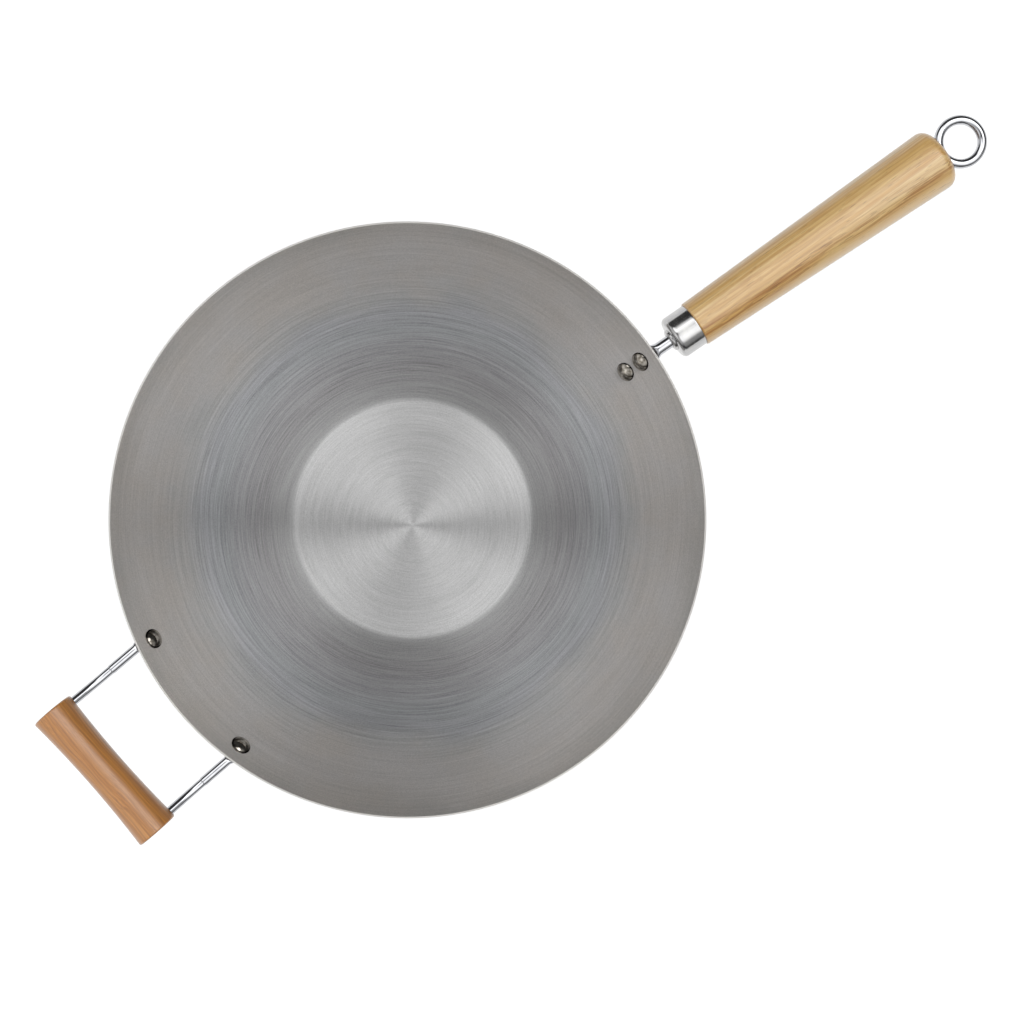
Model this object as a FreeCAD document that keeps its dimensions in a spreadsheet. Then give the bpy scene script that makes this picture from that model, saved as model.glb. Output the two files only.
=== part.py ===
"""A flat-bottomed steel wok with a long wooden handle and a short wooden helper handle.

The bowl is one pressed sheet.  Its long handle is a formed steel bracket, riveted to the
outside of the wall, whose round spigot carries a ferrule and a turned grip; a bolt with a
ring for a head runs through the grip and screws into the spigot, so it holds the handle
together and hangs the wok up.  Opposite it two smaller brackets hold bent rods, and the
rods hold a short waisted grip.

Frame: millimetres, +Z up, origin at the centre of the base's underside, the long handle
along +X.  Driving dimensions are in the spreadsheet "Dims"; everything else follows.
"""
import FreeCAD, Part
import math
import os

import Sketcher
from FreeCAD import Placement, Rotation, Vector

# ---------------------------------------------------------------- driving dimensions

DIMENSIONS = {
    # the bowl: a flat base and a wall that is one arc, turned round the axis
    "rim_radius": (178.0, "outer edge of the rim, for a 14 inch wok"),
    "sheet": (1.5, "thickness of the bowl's steel"),
    "wall_arc_radius": (266.5, "radius of the wall's arc, outside"),
    "wall_arc_offset": (43.5, "how far the arc's centre lies past the wok's axis"),
    "wall_arc_height": (237.0, "height of the arc's centre above the table"),
    "base_corner": (13.5, "radius of the bend from base to wall, outside"),
    # rivets
    "head_radius": (6.0, "rivet head, inside the bowl"),
    "head_height": (2.5, "crown of the head above its edge"),
    "head_edge": (0.4, "height of the head's edge"),
    "head_seat": (0.1, "gap under the middle of the head, where the wall curves away"),
    "shank_radius": (2.5, "rivet shank"),
    "tail_radius": (4.0, "formed end outside the bracket"),
    "tail_height": (1.5, "height of the formed end"),
    "rivet_hole": (2.55, "radius of the holes for the rivets"),
    # the long handle's line
    "handle_drop": (5.0, "handle's axis below the rim's outer edge, at the rim"),
    "handle_rise": (1.0, "how far the handle tilts up, degrees"),
    # the long handle's bracket
    "tang_sheet": (3.0, "thickness of the flattened end"),
    "tang_width": (16.0, "width of the flattened end"),
    "tang_foot": (151.0, "radius from the wok's axis to the tang's lower end"),
    "upper_rivet": (169.0, "radius from the wok's axis to the upper rivet"),
    "lower_rivet": (159.7, "radius from the wok's axis to the lower rivet"),
    "tang_bend": (9.0, "radius of the bend from tang to spigot, on the middle line"),
    "spigot_radius": (4.0, "round part of the bracket"),
    "spigot_end": (58.0, "end of the spigot inside the grip, from the rim"),
    "thread_radius": (2.5, "bolt's thread, drawn plain"),
    "thread_depth": (24.0, "depth of the threaded hole in the spigot"),
    "fit": (0.1, "gap between a rod or thread and its hole"),
    # the ferrule: a drawn cap, measured from the rim along the handle
    "ferrule_front": (13.2, "front face of the ferrule"),
    "ferrule_back": (29.6, "open end of the ferrule, where the wood shows"),
    "ferrule_radius": (13.5, "outside of the ferrule"),
    "ferrule_sheet": (0.8, "thickness of the ferrule"),
    "ferrule_corner": (3.0, "rounding of the ferrule's front edge"),
    "ferrule_dome": (0.6, "how far the front swells"),
    "bead_radius": (7.2, "bead round the spigot's hole"),
    "bead_depth": (0.9, "how far the bead stands out"),
    # the long grip
    "grip_front_radius": (14.4, "grip beside the ferrule"),
    "grip_back_radius": (19.1, "grip's widest, near its far end"),
    "grip_end": (209.4, "grip's far end, from the rim"),
    "grip_corner": (6.0, "rounding of the far end"),
    "grip_lip": (0.7, "chamfer beside the ferrule"),
    "seat_radius": (6.4, "recess that the ring sits in"),
    "seat_depth": (1.3, "depth of that recess"),
    # the ring bolt
    "ring_centre": (224.4, "ring's centre, from the rim"),
    "ring_radius": (13.2, "ring, on the wire's middle line"),
    "wire_radius": (2.9, "ring's wire and the bolt's shank"),
    # the helper handle
    "helper_azimuth": (184.5, "direction of the helper handle, degrees from +X"),
    "leg_azimuth": (14.15, "each leg's rivet, degrees from that direction"),
    "helper_skew": (1.8, "how far the helper handle is turned off that direction, degrees"),
    "leg_rise": (5.0, "how far the sockets tilt up, degrees"),
    "tab_sheet": (2.5, "thickness of the flattened ends"),
    "tab_width": (13.0, "width of the flattened ends"),
    "tab_foot": (163.8, "radius from the wok's axis to a tab's lower end"),
    "tab_bend": (8.0, "radius of the bend from tab to socket, on the middle line"),
    "socket_radius": (3.0, "outside of the sockets"),
    "socket_length": (22.8, "socket, from where its line meets the tab's middle line"),
    "socket_bore": (2.1, "radius of the bore in the socket"),
    "tenon_radius": (2.0, "rod's end inside the socket"),
    "tenon_length": (12.0, "length of that end"),
    "rod_radius": (2.7, "helper rods"),
    "rod_lead": (1.8, "straight run before the rod's bend, mean of both rods"),
    "rod_bend": (50.0, "radius of the rod's bend"),
    "rod_rise": (25.0, "rise of the rod into the grip, degrees"),
    "rod_tail": (20.4, "straight run from the bend to the grip's middle"),
    "rod_depth": (4.0, "how far the rod runs past the grip's middle"),
    "helper_length": (94.0, "length of the helper grip"),
    "helper_end_radius": (13.0, "helper grip at its ends"),
    "helper_waist_radius": (11.4, "helper grip at its middle"),
    "helper_edge": (1.2, "rounding of the helper grip's ends"),
}


class Size:
    """A number together with the spreadsheet formula that gives it."""

    def __init__(self, value, formula):
        self.value = value
        self.formula = formula

    def __add__(self, other):
        other = size(other)
        return Size(self.value + other.value, f"({self.formula} + {other.formula})")

    def __sub__(self, other):
        other = size(other)
        return Size(self.value - other.value, f"({self.formula} - {other.formula})")

    def __mul__(self, other):
        other = size(other)
        return Size(self.value * other.value, f"{self.formula} * {other.formula}")

    def __truediv__(self, other):
        other = size(other)
        return Size(self.value / other.value, f"{self.formula} / ({other.formula})")

    def __neg__(self):
        return Size(-self.value, f"(0 - {self.formula})")

    __radd__ = __add__


def size(number):
    """A plain number as a Size; a Size as it is."""
    return number if isinstance(number, Size) else Size(float(number), repr(float(number)))


def square(length):
    return length * length


def root(length):
    return Size(math.sqrt(length.value), f"sqrt({length.formula})")


class Dims:
    """The driving dimensions as attributes, each a Size bound to its cell."""


def make_sheet(doc):
    """Write the driving dimensions into the spreadsheet and return them as Sizes."""
    sheet = doc.addObject("Spreadsheet::Sheet", "Dims")
    dims = Dims()
    for row, (name, (value, meaning)) in enumerate(DIMENSIONS.items(), start=1):
        sheet.set(f"A{row}", name)
        sheet.set(f"B{row}", str(value))
        sheet.set(f"C{row}", meaning)
        sheet.setAlias(f"B{row}", name)
        setattr(dims, name, Size(value, f"Dims.{name}"))
    doc.recompute()
    return dims


doc = FreeCAD.newDocument("wok")
D = make_sheet(doc)

# ---------------------------------------------------------------- helpers for bodies


def new_body(name, placement=Placement()):
    body = doc.addObject("PartDesign::Body", name)
    body.Label = name
    body.Placement = placement
    return body


def origin_plane(body, role):
    return next(item for item in body.Origin.OriginFeatures if item.Role == role)


def new_sketch(body, name, role="XZ_Plane", offset=Placement()):
    """A sketch on one of the body's own planes, moved by offset from it."""
    sketch = body.newObject("Sketcher::SketchObject", name)
    sketch.AttachmentSupport = (origin_plane(body, role), [""])
    sketch.MapMode = "FlatFace"
    sketch.AttachmentOffset = offset
    return sketch


def bind(sketch, constraint, formula):
    """Add a dimensional constraint and bind it to its formula."""
    index = sketch.addConstraint(constraint)
    sketch.setExpression(f"Constraints[{index}]", formula)


def pin_point(sketch, geometry, end, x, y):
    """Hold one point of the sketch at (x, y), each a Size."""
    for kind, axis, place in (("DistanceX", -2, x), ("DistanceY", -1, y)):
        if abs(place.value) < 1e-9:
            sketch.addConstraint(Sketcher.Constraint("PointOnObject", geometry, end, axis))
        elif place.value > 0:
            bind(sketch, Sketcher.Constraint(kind, -1, 1, geometry, end, place.value), place.formula)
        else:
            flipped = -place
            bind(sketch, Sketcher.Constraint(kind, geometry, end, -1, 1, flipped.value), flipped.formula)


def arc_between(start, end, radius, left):
    """The circular arc from start to end, its centre to the left of the way or to the right."""
    chord = end - start
    half = chord.Length / 2
    across = Vector(-chord.y, chord.x, 0).normalize()
    height = math.sqrt(max(radius ** 2 - half ** 2, 0.0))
    centre = start + chord / 2 + across * (height if left else -height)
    first = math.atan2(start.y - centre.y, start.x - centre.x)
    last = math.atan2(end.y - centre.y, end.x - centre.x)
    if not left:
        first, last = last, first
    return Part.ArcOfCircle(Part.Circle(centre, Vector(0, 0, 1), radius), first, last)


def draw_outline(sketch, corners):
    """Close an outline through corners, each (x, y), (x, y, radius, side) or (x, y, "half").

    A corner with a radius is reached by an arc, "left" or "right" saying on which side of
    the way its centre lies.  "half" reaches the corner by half a circle that bulges to the
    right of an upright way.  Any other corner is reached by a straight line.
    """
    corners = [(size(corner[0]), size(corner[1])) + tuple(corner[2:]) for corner in corners]
    points = [Vector(corner[0].value, corner[1].value, 0) for corner in corners]
    ends = []
    for index, corner in enumerate(corners):
        start, end = points[index - 1], points[index]
        if corner[2:] == ("half",):
            edge = sketch.addGeometry(arc_between(start, end, (end - start).Length / 2, True))
            sketch.addConstraint(Sketcher.Constraint("Vertical", edge, 3, edge, 1))
            ends.append((edge, 1, 2))
        elif len(corner) > 2:
            radius, side = size(corner[2]), corner[3]
            edge = sketch.addGeometry(arc_between(start, end, radius.value, side == "left"))
            bind(sketch, Sketcher.Constraint("Radius", edge, radius.value), radius.formula)
            ends.append((edge, 1, 2) if side == "left" else (edge, 2, 1))
        else:
            edge = sketch.addGeometry(Part.LineSegment(start, end))
            ends.append((edge, 1, 2))
    for index, (edge, _, last) in enumerate(ends):
        after, first, _ = ends[(index + 1) % len(ends)]
        sketch.addConstraint(Sketcher.Constraint("Coincident", edge, last, after, first))
        pin_point(sketch, edge, last, corners[index][0], corners[index][1])


def draw_circle(sketch, radius, x=0, y=0):
    """A full circle about (x, y)."""
    x, y, radius = size(x), size(y), size(radius)
    circle = Part.Circle(Vector(x.value, y.value, 0), Vector(0, 0, 1), radius.value)
    edge = sketch.addGeometry(circle)
    bind(sketch, Sketcher.Constraint("Radius", edge, radius.value), radius.formula)
    pin_point(sketch, edge, 3, x, y)


def revolve(body, sketch, axis, angle=360.0):
    """Turn the sketch round one of its own axes, half of the angle to each side."""
    turn = body.newObject("PartDesign::Revolution", sketch.Name + "_turned")
    turn.Profile = sketch
    turn.ReferenceAxis = (sketch, [axis])
    turn.Angle = angle
    turn.Midplane = angle < 360.0
    return turn


def pad(body, sketch, length):
    """Push the sketch out by length along its normal."""
    push = body.newObject("PartDesign::Pad", sketch.Name + "_padded")
    push.Profile = sketch
    push.Length = length.value
    push.setExpression("Length", length.formula)
    return push


def drill(body, name, radius, depth, mouth):
    """Sink a round hole into the body from its mouth, whose +Z points out of the hole."""
    ring = new_sketch(body, name + "_mouth", "XY_Plane", mouth)
    draw_circle(ring, radius)
    hole = body.newObject("PartDesign::Pocket", name)
    hole.Profile = ring
    hole.Length = depth.value
    hole.setExpression("Length", depth.formula)
    return hole


def round_edges(body, feature, radius, chosen):
    """Fillet the edges of feature that chosen(edge) picks."""
    doc.recompute()
    names = [f"Edge{index}" for index, edge in enumerate(feature.Shape.Edges, start=1) if chosen(edge)]
    fillet = body.newObject("PartDesign::Fillet", feature.Name + "_rounded")
    fillet.Base = (feature, names)
    fillet.Radius = radius
    return fillet


def middle_of(edge):
    return edge.valueAt((edge.FirstParameter + edge.LastParameter) / 2)


def turned_about_z(degrees):
    return Placement(Vector(), Rotation(Vector(0, 0, 1), degrees))


def raised(frame, height):
    """The frame moved along its own +Z."""
    return frame.multiply(Placement(Vector(0, 0, height), Rotation()))


# ---------------------------------------------------------------- the bowl's geometry

INNER_ARC = D.wall_arc_radius - D.sheet
ARC_CENTRE = Vector(-D.wall_arc_offset.value, 0, D.wall_arc_height.value)


def wall_height(radius, arc):
    """Height of the wall's arc at a radius from the wok's axis."""
    return D.wall_arc_height - root(square(arc) - square(radius + D.wall_arc_offset))


RIM_HEIGHT = wall_height(D.rim_radius, D.wall_arc_radius)


def wall_frame(radius):
    """Frame on the inside of the wall at a radius: +Z into the bowl, +Y across the wall."""
    point = Vector(radius.value, 0, wall_height(radius, INNER_ARC).value)
    inward = (ARC_CENTRE - point).normalize()
    return Placement(point, Rotation(Vector(), Vector(0, 1, 0), inward, "ZYX"))


HANDLE_AXIS_HEIGHT = RIM_HEIGHT - D.handle_drop
HANDLE_FRAME = Placement(
    Vector(D.rim_radius.value, 0, HANDLE_AXIS_HEIGHT.value),
    Rotation(Vector(0, -1, 0), D.handle_rise.value),
)
LEG_SIDES = {"left": -1, "right": 1}


def leg_frame(side):
    """Frame turned to one helper leg's rivet."""
    return turned_about_z(D.helper_azimuth.value + side * D.leg_azimuth.value)


def leg_turn(side):
    """Degrees from the helper handle's own direction to one leg's rivet."""
    return side * D.leg_azimuth.value - D.helper_skew.value


RIVET_FRAMES = {
    "handle_rivet_upper": (wall_frame(D.upper_rivet), D.tang_sheet),
    "handle_rivet_lower": (wall_frame(D.lower_rivet), D.tang_sheet),
}
for side_name, side in LEG_SIDES.items():
    frame = leg_frame(side).multiply(wall_frame(D.upper_rivet))
    RIVET_FRAMES[f"helper_rivet_{side_name}"] = (frame, D.tab_sheet)


def make_bowl():
    """The pressed bowl: flat base, bend and wall in one sheet, with four rivet holes."""
    body = new_body("wok_body")
    bend_arc = D.wall_arc_radius - D.base_corner
    bend_drop = D.wall_arc_height - D.base_corner
    flat_radius = root(square(bend_arc) - square(bend_drop)) - D.wall_arc_offset

    def on_arc(arc, across, down, whole):
        """The point of an arc about the wall's centre in the direction (across, down)."""
        x = arc * across / whole - D.wall_arc_offset
        return x, D.wall_arc_height - arc * down / whole

    bend = (flat_radius + D.wall_arc_offset, bend_drop, bend_arc)
    rim = (D.rim_radius + D.wall_arc_offset, D.wall_arc_height - RIM_HEIGHT, D.wall_arc_radius)
    outer_bend = on_arc(D.wall_arc_radius, *bend)
    inner_bend = on_arc(INNER_ARC, *bend)
    inner_rim = on_arc(INNER_ARC, *rim)
    sketch = new_sketch(body, "bowl_profile", "YZ_Plane")
    draw_outline(sketch, [
        (0, 0),
        (flat_radius, 0),
        (*outer_bend, D.base_corner, "left"),
        (D.rim_radius, RIM_HEIGHT, D.wall_arc_radius, "left"),
        inner_rim,
        (*inner_bend, INNER_ARC, "right"),
        (flat_radius, D.sheet, D.base_corner - D.sheet, "right"),
        (0, D.sheet),
    ])
    revolve(body, sketch, "V_Axis")
    for name, (frame, _) in RIVET_FRAMES.items():
        drill(body, f"hole_for_{name}", D.rivet_hole, D.sheet * 4, raised(frame, D.sheet.value * 2))
    return body


def make_rivet(name, frame, bracket_sheet):
    """A domed rivet through the wall and a bracket, headed inside the bowl."""
    body = new_body(name, frame)
    edge_top = D.head_seat + D.head_edge
    crown = (square(D.head_radius) + square(D.head_height)) / (D.head_height * 2)
    grip = -(D.sheet + bracket_sheet)
    tail = (square(D.tail_radius) + square(D.tail_height)) / (D.tail_height * 2)
    sketch = new_sketch(body, name + "_profile")
    draw_outline(sketch, [
        (0, grip - D.tail_height),
        (D.tail_radius, grip, tail, "left"),
        (D.shank_radius, grip),
        (D.shank_radius, D.head_seat),
        (D.head_radius, D.head_seat),
        (D.head_radius, edge_top),
        (0, edge_top + D.head_height, crown, "left"),
    ])
    revolve(body, sketch, "V_Axis")
    return body


# ---------------------------------------------------------------- formed brackets


def draw_slot(sketch, width, height):
    """A section with flat faces and round edges; a circle, in four arcs, where both are equal."""
    if width.value > height.value:
        half, edge_radius = (width - height) / 2, height / 2
        draw_outline(sketch, [
            (half, -edge_radius),
            (half, edge_radius, "half"),
            (-half, edge_radius),
            (-half, -edge_radius, "half"),
        ])
        return
    radius = height / 2
    corner = radius * math.sqrt(0.5)
    draw_outline(sketch, [
        (corner, -corner, radius, "left"),
        (corner, corner, radius, "left"),
        (-corner, corner, radius, "left"),
        (-corner, -corner, radius, "left"),
    ])


# Share of the bend at each section of a neck, and how much of the change from flat to
# round is done there.  The flat stays thin until it has turned clear of the wall.
NECK_SECTIONS = ((0.0, 0.0, 0.0), (0.35, 0.35, 0.06), (0.72, 0.75, 0.5), (1.0, 1.0, 1.0))


def neck_stations(sheet, rise, sideways, bend_radius):
    """Frames along the bend from the wall's line to the round part's line.

    Each frame has +Z along the metal, +X across its width and +Y out of its flat face.
    The two lines meet where the tang's middle line reaches the handle's height.
    """
    middle_arc = D.wall_arc_radius + sheet / 2
    down = D.wall_arc_height - HANDLE_AXIS_HEIGHT
    meeting = Vector(root(square(middle_arc) - square(down)).value - D.wall_arc_offset.value, 0,
                     HANDLE_AXIS_HEIGHT.value)
    outward = (meeting - ARC_CENTRE).normalize()
    uphill = Vector(0, -1, 0).cross(outward)
    if uphill.z < 0:
        uphill = -uphill
    level = Vector(math.cos(math.radians(sideways)), math.sin(math.radians(sideways)), 0)
    way = level * math.cos(math.radians(rise)) + Vector(0, 0, math.sin(math.radians(rise)))
    turn = uphill.getAngle(way)
    hinge = uphill.cross(way).normalize()
    reach = bend_radius * math.tan(turn / 2)
    start = meeting - uphill * reach
    across = uphill.cross(outward).normalize()
    upright = Rotation(across, outward * -1, uphill, "ZXY")
    centre = start + hinge.cross(uphill) * bend_radius
    frames = []
    for share, _, _ in NECK_SECTIONS:
        swing = Rotation(hinge, math.degrees(turn) * share)
        place = centre + swing.multVec(start - centre)
        frames.append(Placement(place, swing.multiply(upright)))
    return meeting, way, reach, frames


def make_bracket(name, placement, sheet, width, foot, rivets, rise, sideways, bend_radius,
                 round_radius, round_end, bore_radius, bore_depth):
    """A rod whose end is flattened, dished to the bowl's wall and bent up to the handle.

    round_end is the length of the round part from the point where its line meets the
    tang's middle line.
    """
    body = new_body(name, placement)
    meeting, way, reach, frames = neck_stations(sheet, rise, sideways, bend_radius.value)
    outer_arc = D.wall_arc_radius + sheet

    # the flattened end: a strip between two arcs that share the wall's centre
    head_direction = (frames[0].Base - ARC_CENTRE).normalize()
    head = size(ARC_CENTRE.x + head_direction.x * D.wall_arc_radius.value)

    def stretched(radius):
        """The point of the outer arc that lies behind the inner arc's point at radius."""
        x = (radius + D.wall_arc_offset) * outer_arc / D.wall_arc_radius - D.wall_arc_offset
        drop = D.wall_arc_height - wall_height(radius, D.wall_arc_radius)
        return x, D.wall_arc_height - drop * outer_arc / D.wall_arc_radius

    strip = new_sketch(body, name + "_strip")
    draw_outline(strip, [
        stretched(foot),
        (*stretched(head), outer_arc, "left"),
        (head, wall_height(head, D.wall_arc_radius)),
        (foot, wall_height(foot, D.wall_arc_radius), D.wall_arc_radius, "right"),
    ])
    sweep = math.degrees(width.value / head.value)
    tang = revolve(body, strip, "V_Axis", sweep)
    foot_height = wall_height(foot, D.wall_arc_radius).value

    def is_foot_corner(edge):
        middle = middle_of(edge)
        return (edge.Length < 1.2 * sheet.value and middle.z < foot_height + 1
                and abs(middle.y) > width.value / 4)

    round_edges(body, tang, width.value * 0.4, is_foot_corner)

    # the neck: flat to round through the bend, then the round part
    sections = []
    for index, ((_, narrowing, thickening), frame) in enumerate(zip(NECK_SECTIONS, frames)):
        section = new_sketch(body, f"{name}_section_{index}", "XY_Plane", frame)
        width_here = width + (round_radius * 2 - width) * narrowing
        sheet_here = sheet + (round_radius * 2 - sheet) * thickening
        draw_slot(section, width_here, sheet_here)
        sections.append(section)
    neck = body.newObject("PartDesign::AdditiveLoft", name + "_neck")
    neck.Profile = sections[0]
    neck.Sections = sections[1:]

    round_start = frames[-1]
    round_sketch = new_sketch(body, name + "_round", "XY_Plane", round_start)
    draw_circle(round_sketch, round_radius)
    pad(body, round_sketch, size(round_end - reach))
    mouth = Placement(meeting + way * round_end, round_start.Rotation)
    drill(body, name + "_bore", bore_radius, bore_depth, mouth)
    for index, radius in enumerate(rivets):
        drill(body, f"{name}_rivet_hole_{index}", D.rivet_hole, (D.sheet + sheet) * 2, wall_frame(radius))
    return body


def make_handle_bracket():
    meeting, _, _, _ = neck_stations(D.tang_sheet, D.handle_rise.value, 0.0, D.tang_bend.value)
    from_meeting = D.rim_radius.value + D.spigot_end.value - meeting.x
    return make_bracket(
        "handle_bracket", Placement(), D.tang_sheet, D.tang_width, D.tang_foot,
        (D.upper_rivet, D.lower_rivet), D.handle_rise.value, 0.0, D.tang_bend,
        D.spigot_radius, from_meeting, D.thread_radius + D.fit, D.thread_depth)


def make_helper_bracket(side_name, side):
    return make_bracket(
        f"helper_bracket_{side_name}", leg_frame(side), D.tab_sheet, D.tab_width, D.tab_foot,
        (D.upper_rivet,), D.leg_rise.value, -leg_turn(side), D.tab_bend,
        D.socket_radius, D.socket_length.value, D.socket_bore, D.tenon_length)


# ---------------------------------------------------------------- the long handle


def make_ferrule():
    """A cap drawn from thin sheet: beaded round the spigot's hole, swelling to a round edge."""
    body = new_body("ferrule", HANDLE_FRAME)
    hole = D.spigot_radius + D.fit
    shoulder = D.ferrule_radius - D.ferrule_corner
    edge_front = D.ferrule_front + D.ferrule_dome
    inside = D.ferrule_sheet
    sketch = new_sketch(body, "ferrule_profile")
    bead_front = D.ferrule_front - D.bead_depth
    bead_half = (D.bead_radius - hole) / 2
    draw_outline(sketch, [
        (D.ferrule_front + inside, hole),
        (D.ferrule_front, hole),
        (D.ferrule_front, D.bead_radius,
         (square(bead_half) + square(D.bead_depth)) / (D.bead_depth * 2), "right"),
        (edge_front, shoulder),
        (edge_front + D.ferrule_corner, D.ferrule_radius, D.ferrule_corner, "right"),
        (D.ferrule_back, D.ferrule_radius),
        (D.ferrule_back, D.ferrule_radius - inside),
        (edge_front + D.ferrule_corner, D.ferrule_radius - inside),
        (edge_front + inside, shoulder, D.ferrule_corner - inside, "left"),
    ])
    revolve(body, sketch, "H_Axis")
    return body


def make_handle_grip():
    """The turned grip: a tenon in the ferrule, an even taper, a rounded far end."""
    body = new_body("handle_grip", HANDLE_FRAME)
    tenon = D.ferrule_radius - D.ferrule_sheet - D.fit
    tenon_front = D.ferrule_front + D.ferrule_dome + D.ferrule_corner
    spigot_bore = D.spigot_radius + D.fit
    bolt_bore = D.wire_radius + D.fit
    sketch = new_sketch(body, "grip_profile")
    draw_outline(sketch, [
        (tenon_front, spigot_bore),
        (tenon_front, tenon),
        (D.ferrule_back, tenon),
        (D.ferrule_back, D.grip_front_radius - D.grip_lip),
        (D.ferrule_back + D.grip_lip, D.grip_front_radius),
        (D.grip_end - D.grip_corner, D.grip_back_radius),
        (D.grip_end, D.grip_back_radius - D.grip_corner, D.grip_corner, "right"),
        (D.grip_end, D.seat_radius),
        (D.grip_end - D.seat_depth, D.seat_radius),
        (D.grip_end - D.seat_depth, bolt_bore),
        (D.spigot_end + D.fit, bolt_bore),
        (D.spigot_end + D.fit, spigot_bore),
    ])
    revolve(body, sketch, "H_Axis")
    return body


def make_ring_bolt():
    """A long bolt whose head is a ring lying flat, in the plane of the handle."""
    body = new_body("ring_bolt", HANDLE_FRAME.multiply(Placement(Vector(D.ring_centre.value, 0, 0), Rotation())))
    wire = new_sketch(body, "ring_wire")
    draw_circle(wire, D.wire_radius, D.ring_radius)
    revolve(body, wire, "V_Axis")
    shank = new_sketch(body, "bolt_shank")
    near_side = -D.ring_radius
    thread_start = D.spigot_end + D.fit * 2 - D.ring_centre
    thread_end = thread_start - D.thread_depth + 1
    draw_outline(shank, [
        (thread_end, 0),
        (thread_end, D.thread_radius),
        (thread_start, D.thread_radius),
        (thread_start, D.wire_radius),
        (near_side, D.wire_radius),
        (near_side, 0),
    ])
    revolve(body, shank, "H_Axis")
    return body


# ---------------------------------------------------------------- the helper handle


def leg_start(side):
    """Where a socket's line starts, in the helper handle's own frame."""
    turn = leg_turn(side)
    meeting, _, _, _ = neck_stations(D.tab_sheet, D.leg_rise.value, -turn, D.tab_bend.value)
    return turned_about_z(turn).multVec(meeting)


def rod_path(side):
    """Points of a rod's line from the socket's mouth to its end, and its two directions.

    It leaves the socket at the socket's rise, bends up by one arc and runs straight on.
    The points count from leg_start.  The sockets start at different reaches, because the
    handle is turned a little off the line between its rivets, so each rod's straight lead
    makes up for that and both rods meet the grip at the same reach.
    """
    low, high = math.radians(D.leg_rise.value), math.radians(D.rod_rise.value)
    along_low = Vector(math.cos(low), 0, math.sin(low))
    along_high = Vector(math.cos(high), 0, math.sin(high))
    short_by = (leg_start(-side).x - leg_start(side).x) / 2
    mouth = along_low * D.socket_length.value
    bend_start = mouth + along_low * (D.rod_lead.value + short_by / math.cos(low))
    centre = bend_start + Vector(-math.sin(low), 0, math.cos(low)) * D.rod_bend.value
    bend_end = centre + Vector(math.sin(high), 0, -math.cos(high)) * D.rod_bend.value
    grip_middle = bend_end + along_high * D.rod_tail.value
    end = grip_middle + along_high * D.rod_depth.value
    return mouth, bend_start, bend_end, grip_middle, end, along_low, along_high


def helper_frame(offset):
    """The helper handle's own frame, +X outwards, moved by offset within it."""
    direction = turned_about_z(D.helper_azimuth.value + D.helper_skew.value)
    return direction.multiply(Placement(offset, Rotation()))


def make_helper_rod(side_name, side):
    """A bent rod with a turned-down end that sits in the socket."""
    body = new_body(f"helper_rod_{side_name}", helper_frame(leg_start(side)))
    mouth, bend_start, bend_end, _, end, along_low, _ = rod_path(side)
    path = new_sketch(body, f"rod_path_{side_name}")

    def flat(point):
        return Vector(point.x, point.z, 0)

    path.addGeometry(Part.LineSegment(flat(mouth), flat(bend_start)))
    path.addGeometry(arc_between(flat(bend_start), flat(bend_end), D.rod_bend.value, True))
    path.addGeometry(Part.LineSegment(flat(bend_end), flat(end)))
    path.addConstraint([
        Sketcher.Constraint("Coincident", 0, 2, 1, 1),
        Sketcher.Constraint("Coincident", 1, 2, 2, 1),
    ])
    bind(path, Sketcher.Constraint("Radius", 1, D.rod_bend.value), D.rod_bend.formula)
    facing = Rotation(Vector(0, 1, 0), Vector(), along_low, "ZXY")
    section = new_sketch(body, f"rod_section_{side_name}", "XY_Plane", Placement(mouth, facing))
    draw_circle(section, D.rod_radius)
    rod = body.newObject("PartDesign::AdditivePipe", f"rod_{side_name}")
    rod.Profile = section
    rod.Spine = path
    tenon_place = Placement(mouth - along_low * (D.tenon_length.value - D.fit.value), facing)
    tenon = new_sketch(body, f"tenon_{side_name}", "XY_Plane", tenon_place)
    draw_circle(tenon, D.tenon_radius)
    pad(body, tenon, D.tenon_length)
    return body


def make_helper_grip():
    """A short turned grip, waisted, with two blind holes for the rods."""
    _, _, _, right_end, _, _, along_high = rod_path(1)
    right_end += leg_start(1)
    left_end = leg_start(-1) + rod_path(-1)[3]
    centre = (right_end + left_end) / 2
    body = new_body("helper_grip", helper_frame(centre))
    half = D.helper_length / 2
    hollow = D.helper_end_radius - D.helper_waist_radius
    waist_arc = (square(half) + square(hollow)) / (hollow * 2)
    sketch = new_sketch(body, "helper_profile", "YZ_Plane")
    draw_outline(sketch, [
        (-half, 0),
        (half, 0),
        (half, D.helper_end_radius),
        (-half, D.helper_end_radius, waist_arc, "right"),
    ])
    turned = revolve(body, sketch, "H_Axis")
    round_edges(body, turned, D.helper_edge.value,
                lambda edge: abs(abs(middle_of(edge).y) - half.value) < 0.01)
    facing = Rotation(Vector(0, 1, 0), Vector(), -along_high, "ZYX")
    for side_name, rod_end in (("left", left_end), ("right", right_end)):
        mouth = rod_end - centre - along_high * (D.helper_end_radius.value * 2)
        depth = D.helper_end_radius * 2 + D.rod_depth + D.fit
        drill(body, f"rod_hole_{side_name}", D.rod_radius + D.fit, depth, Placement(mouth, facing))
    return body


# ---------------------------------------------------------------- build and write


def build_all():
    bodies = [make_bowl(), make_handle_bracket()]
    bodies += [make_rivet(name, frame, sheet) for name, (frame, sheet) in RIVET_FRAMES.items()]
    bodies += [make_ferrule(), make_handle_grip(), make_ring_bolt()]
    for side_name, side in LEG_SIDES.items():
        bodies.append(make_helper_bracket(side_name, side))
        bodies.append(make_helper_rod(side_name, side))
    bodies.append(make_helper_grip())
    doc.recompute()
    return bodies


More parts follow.
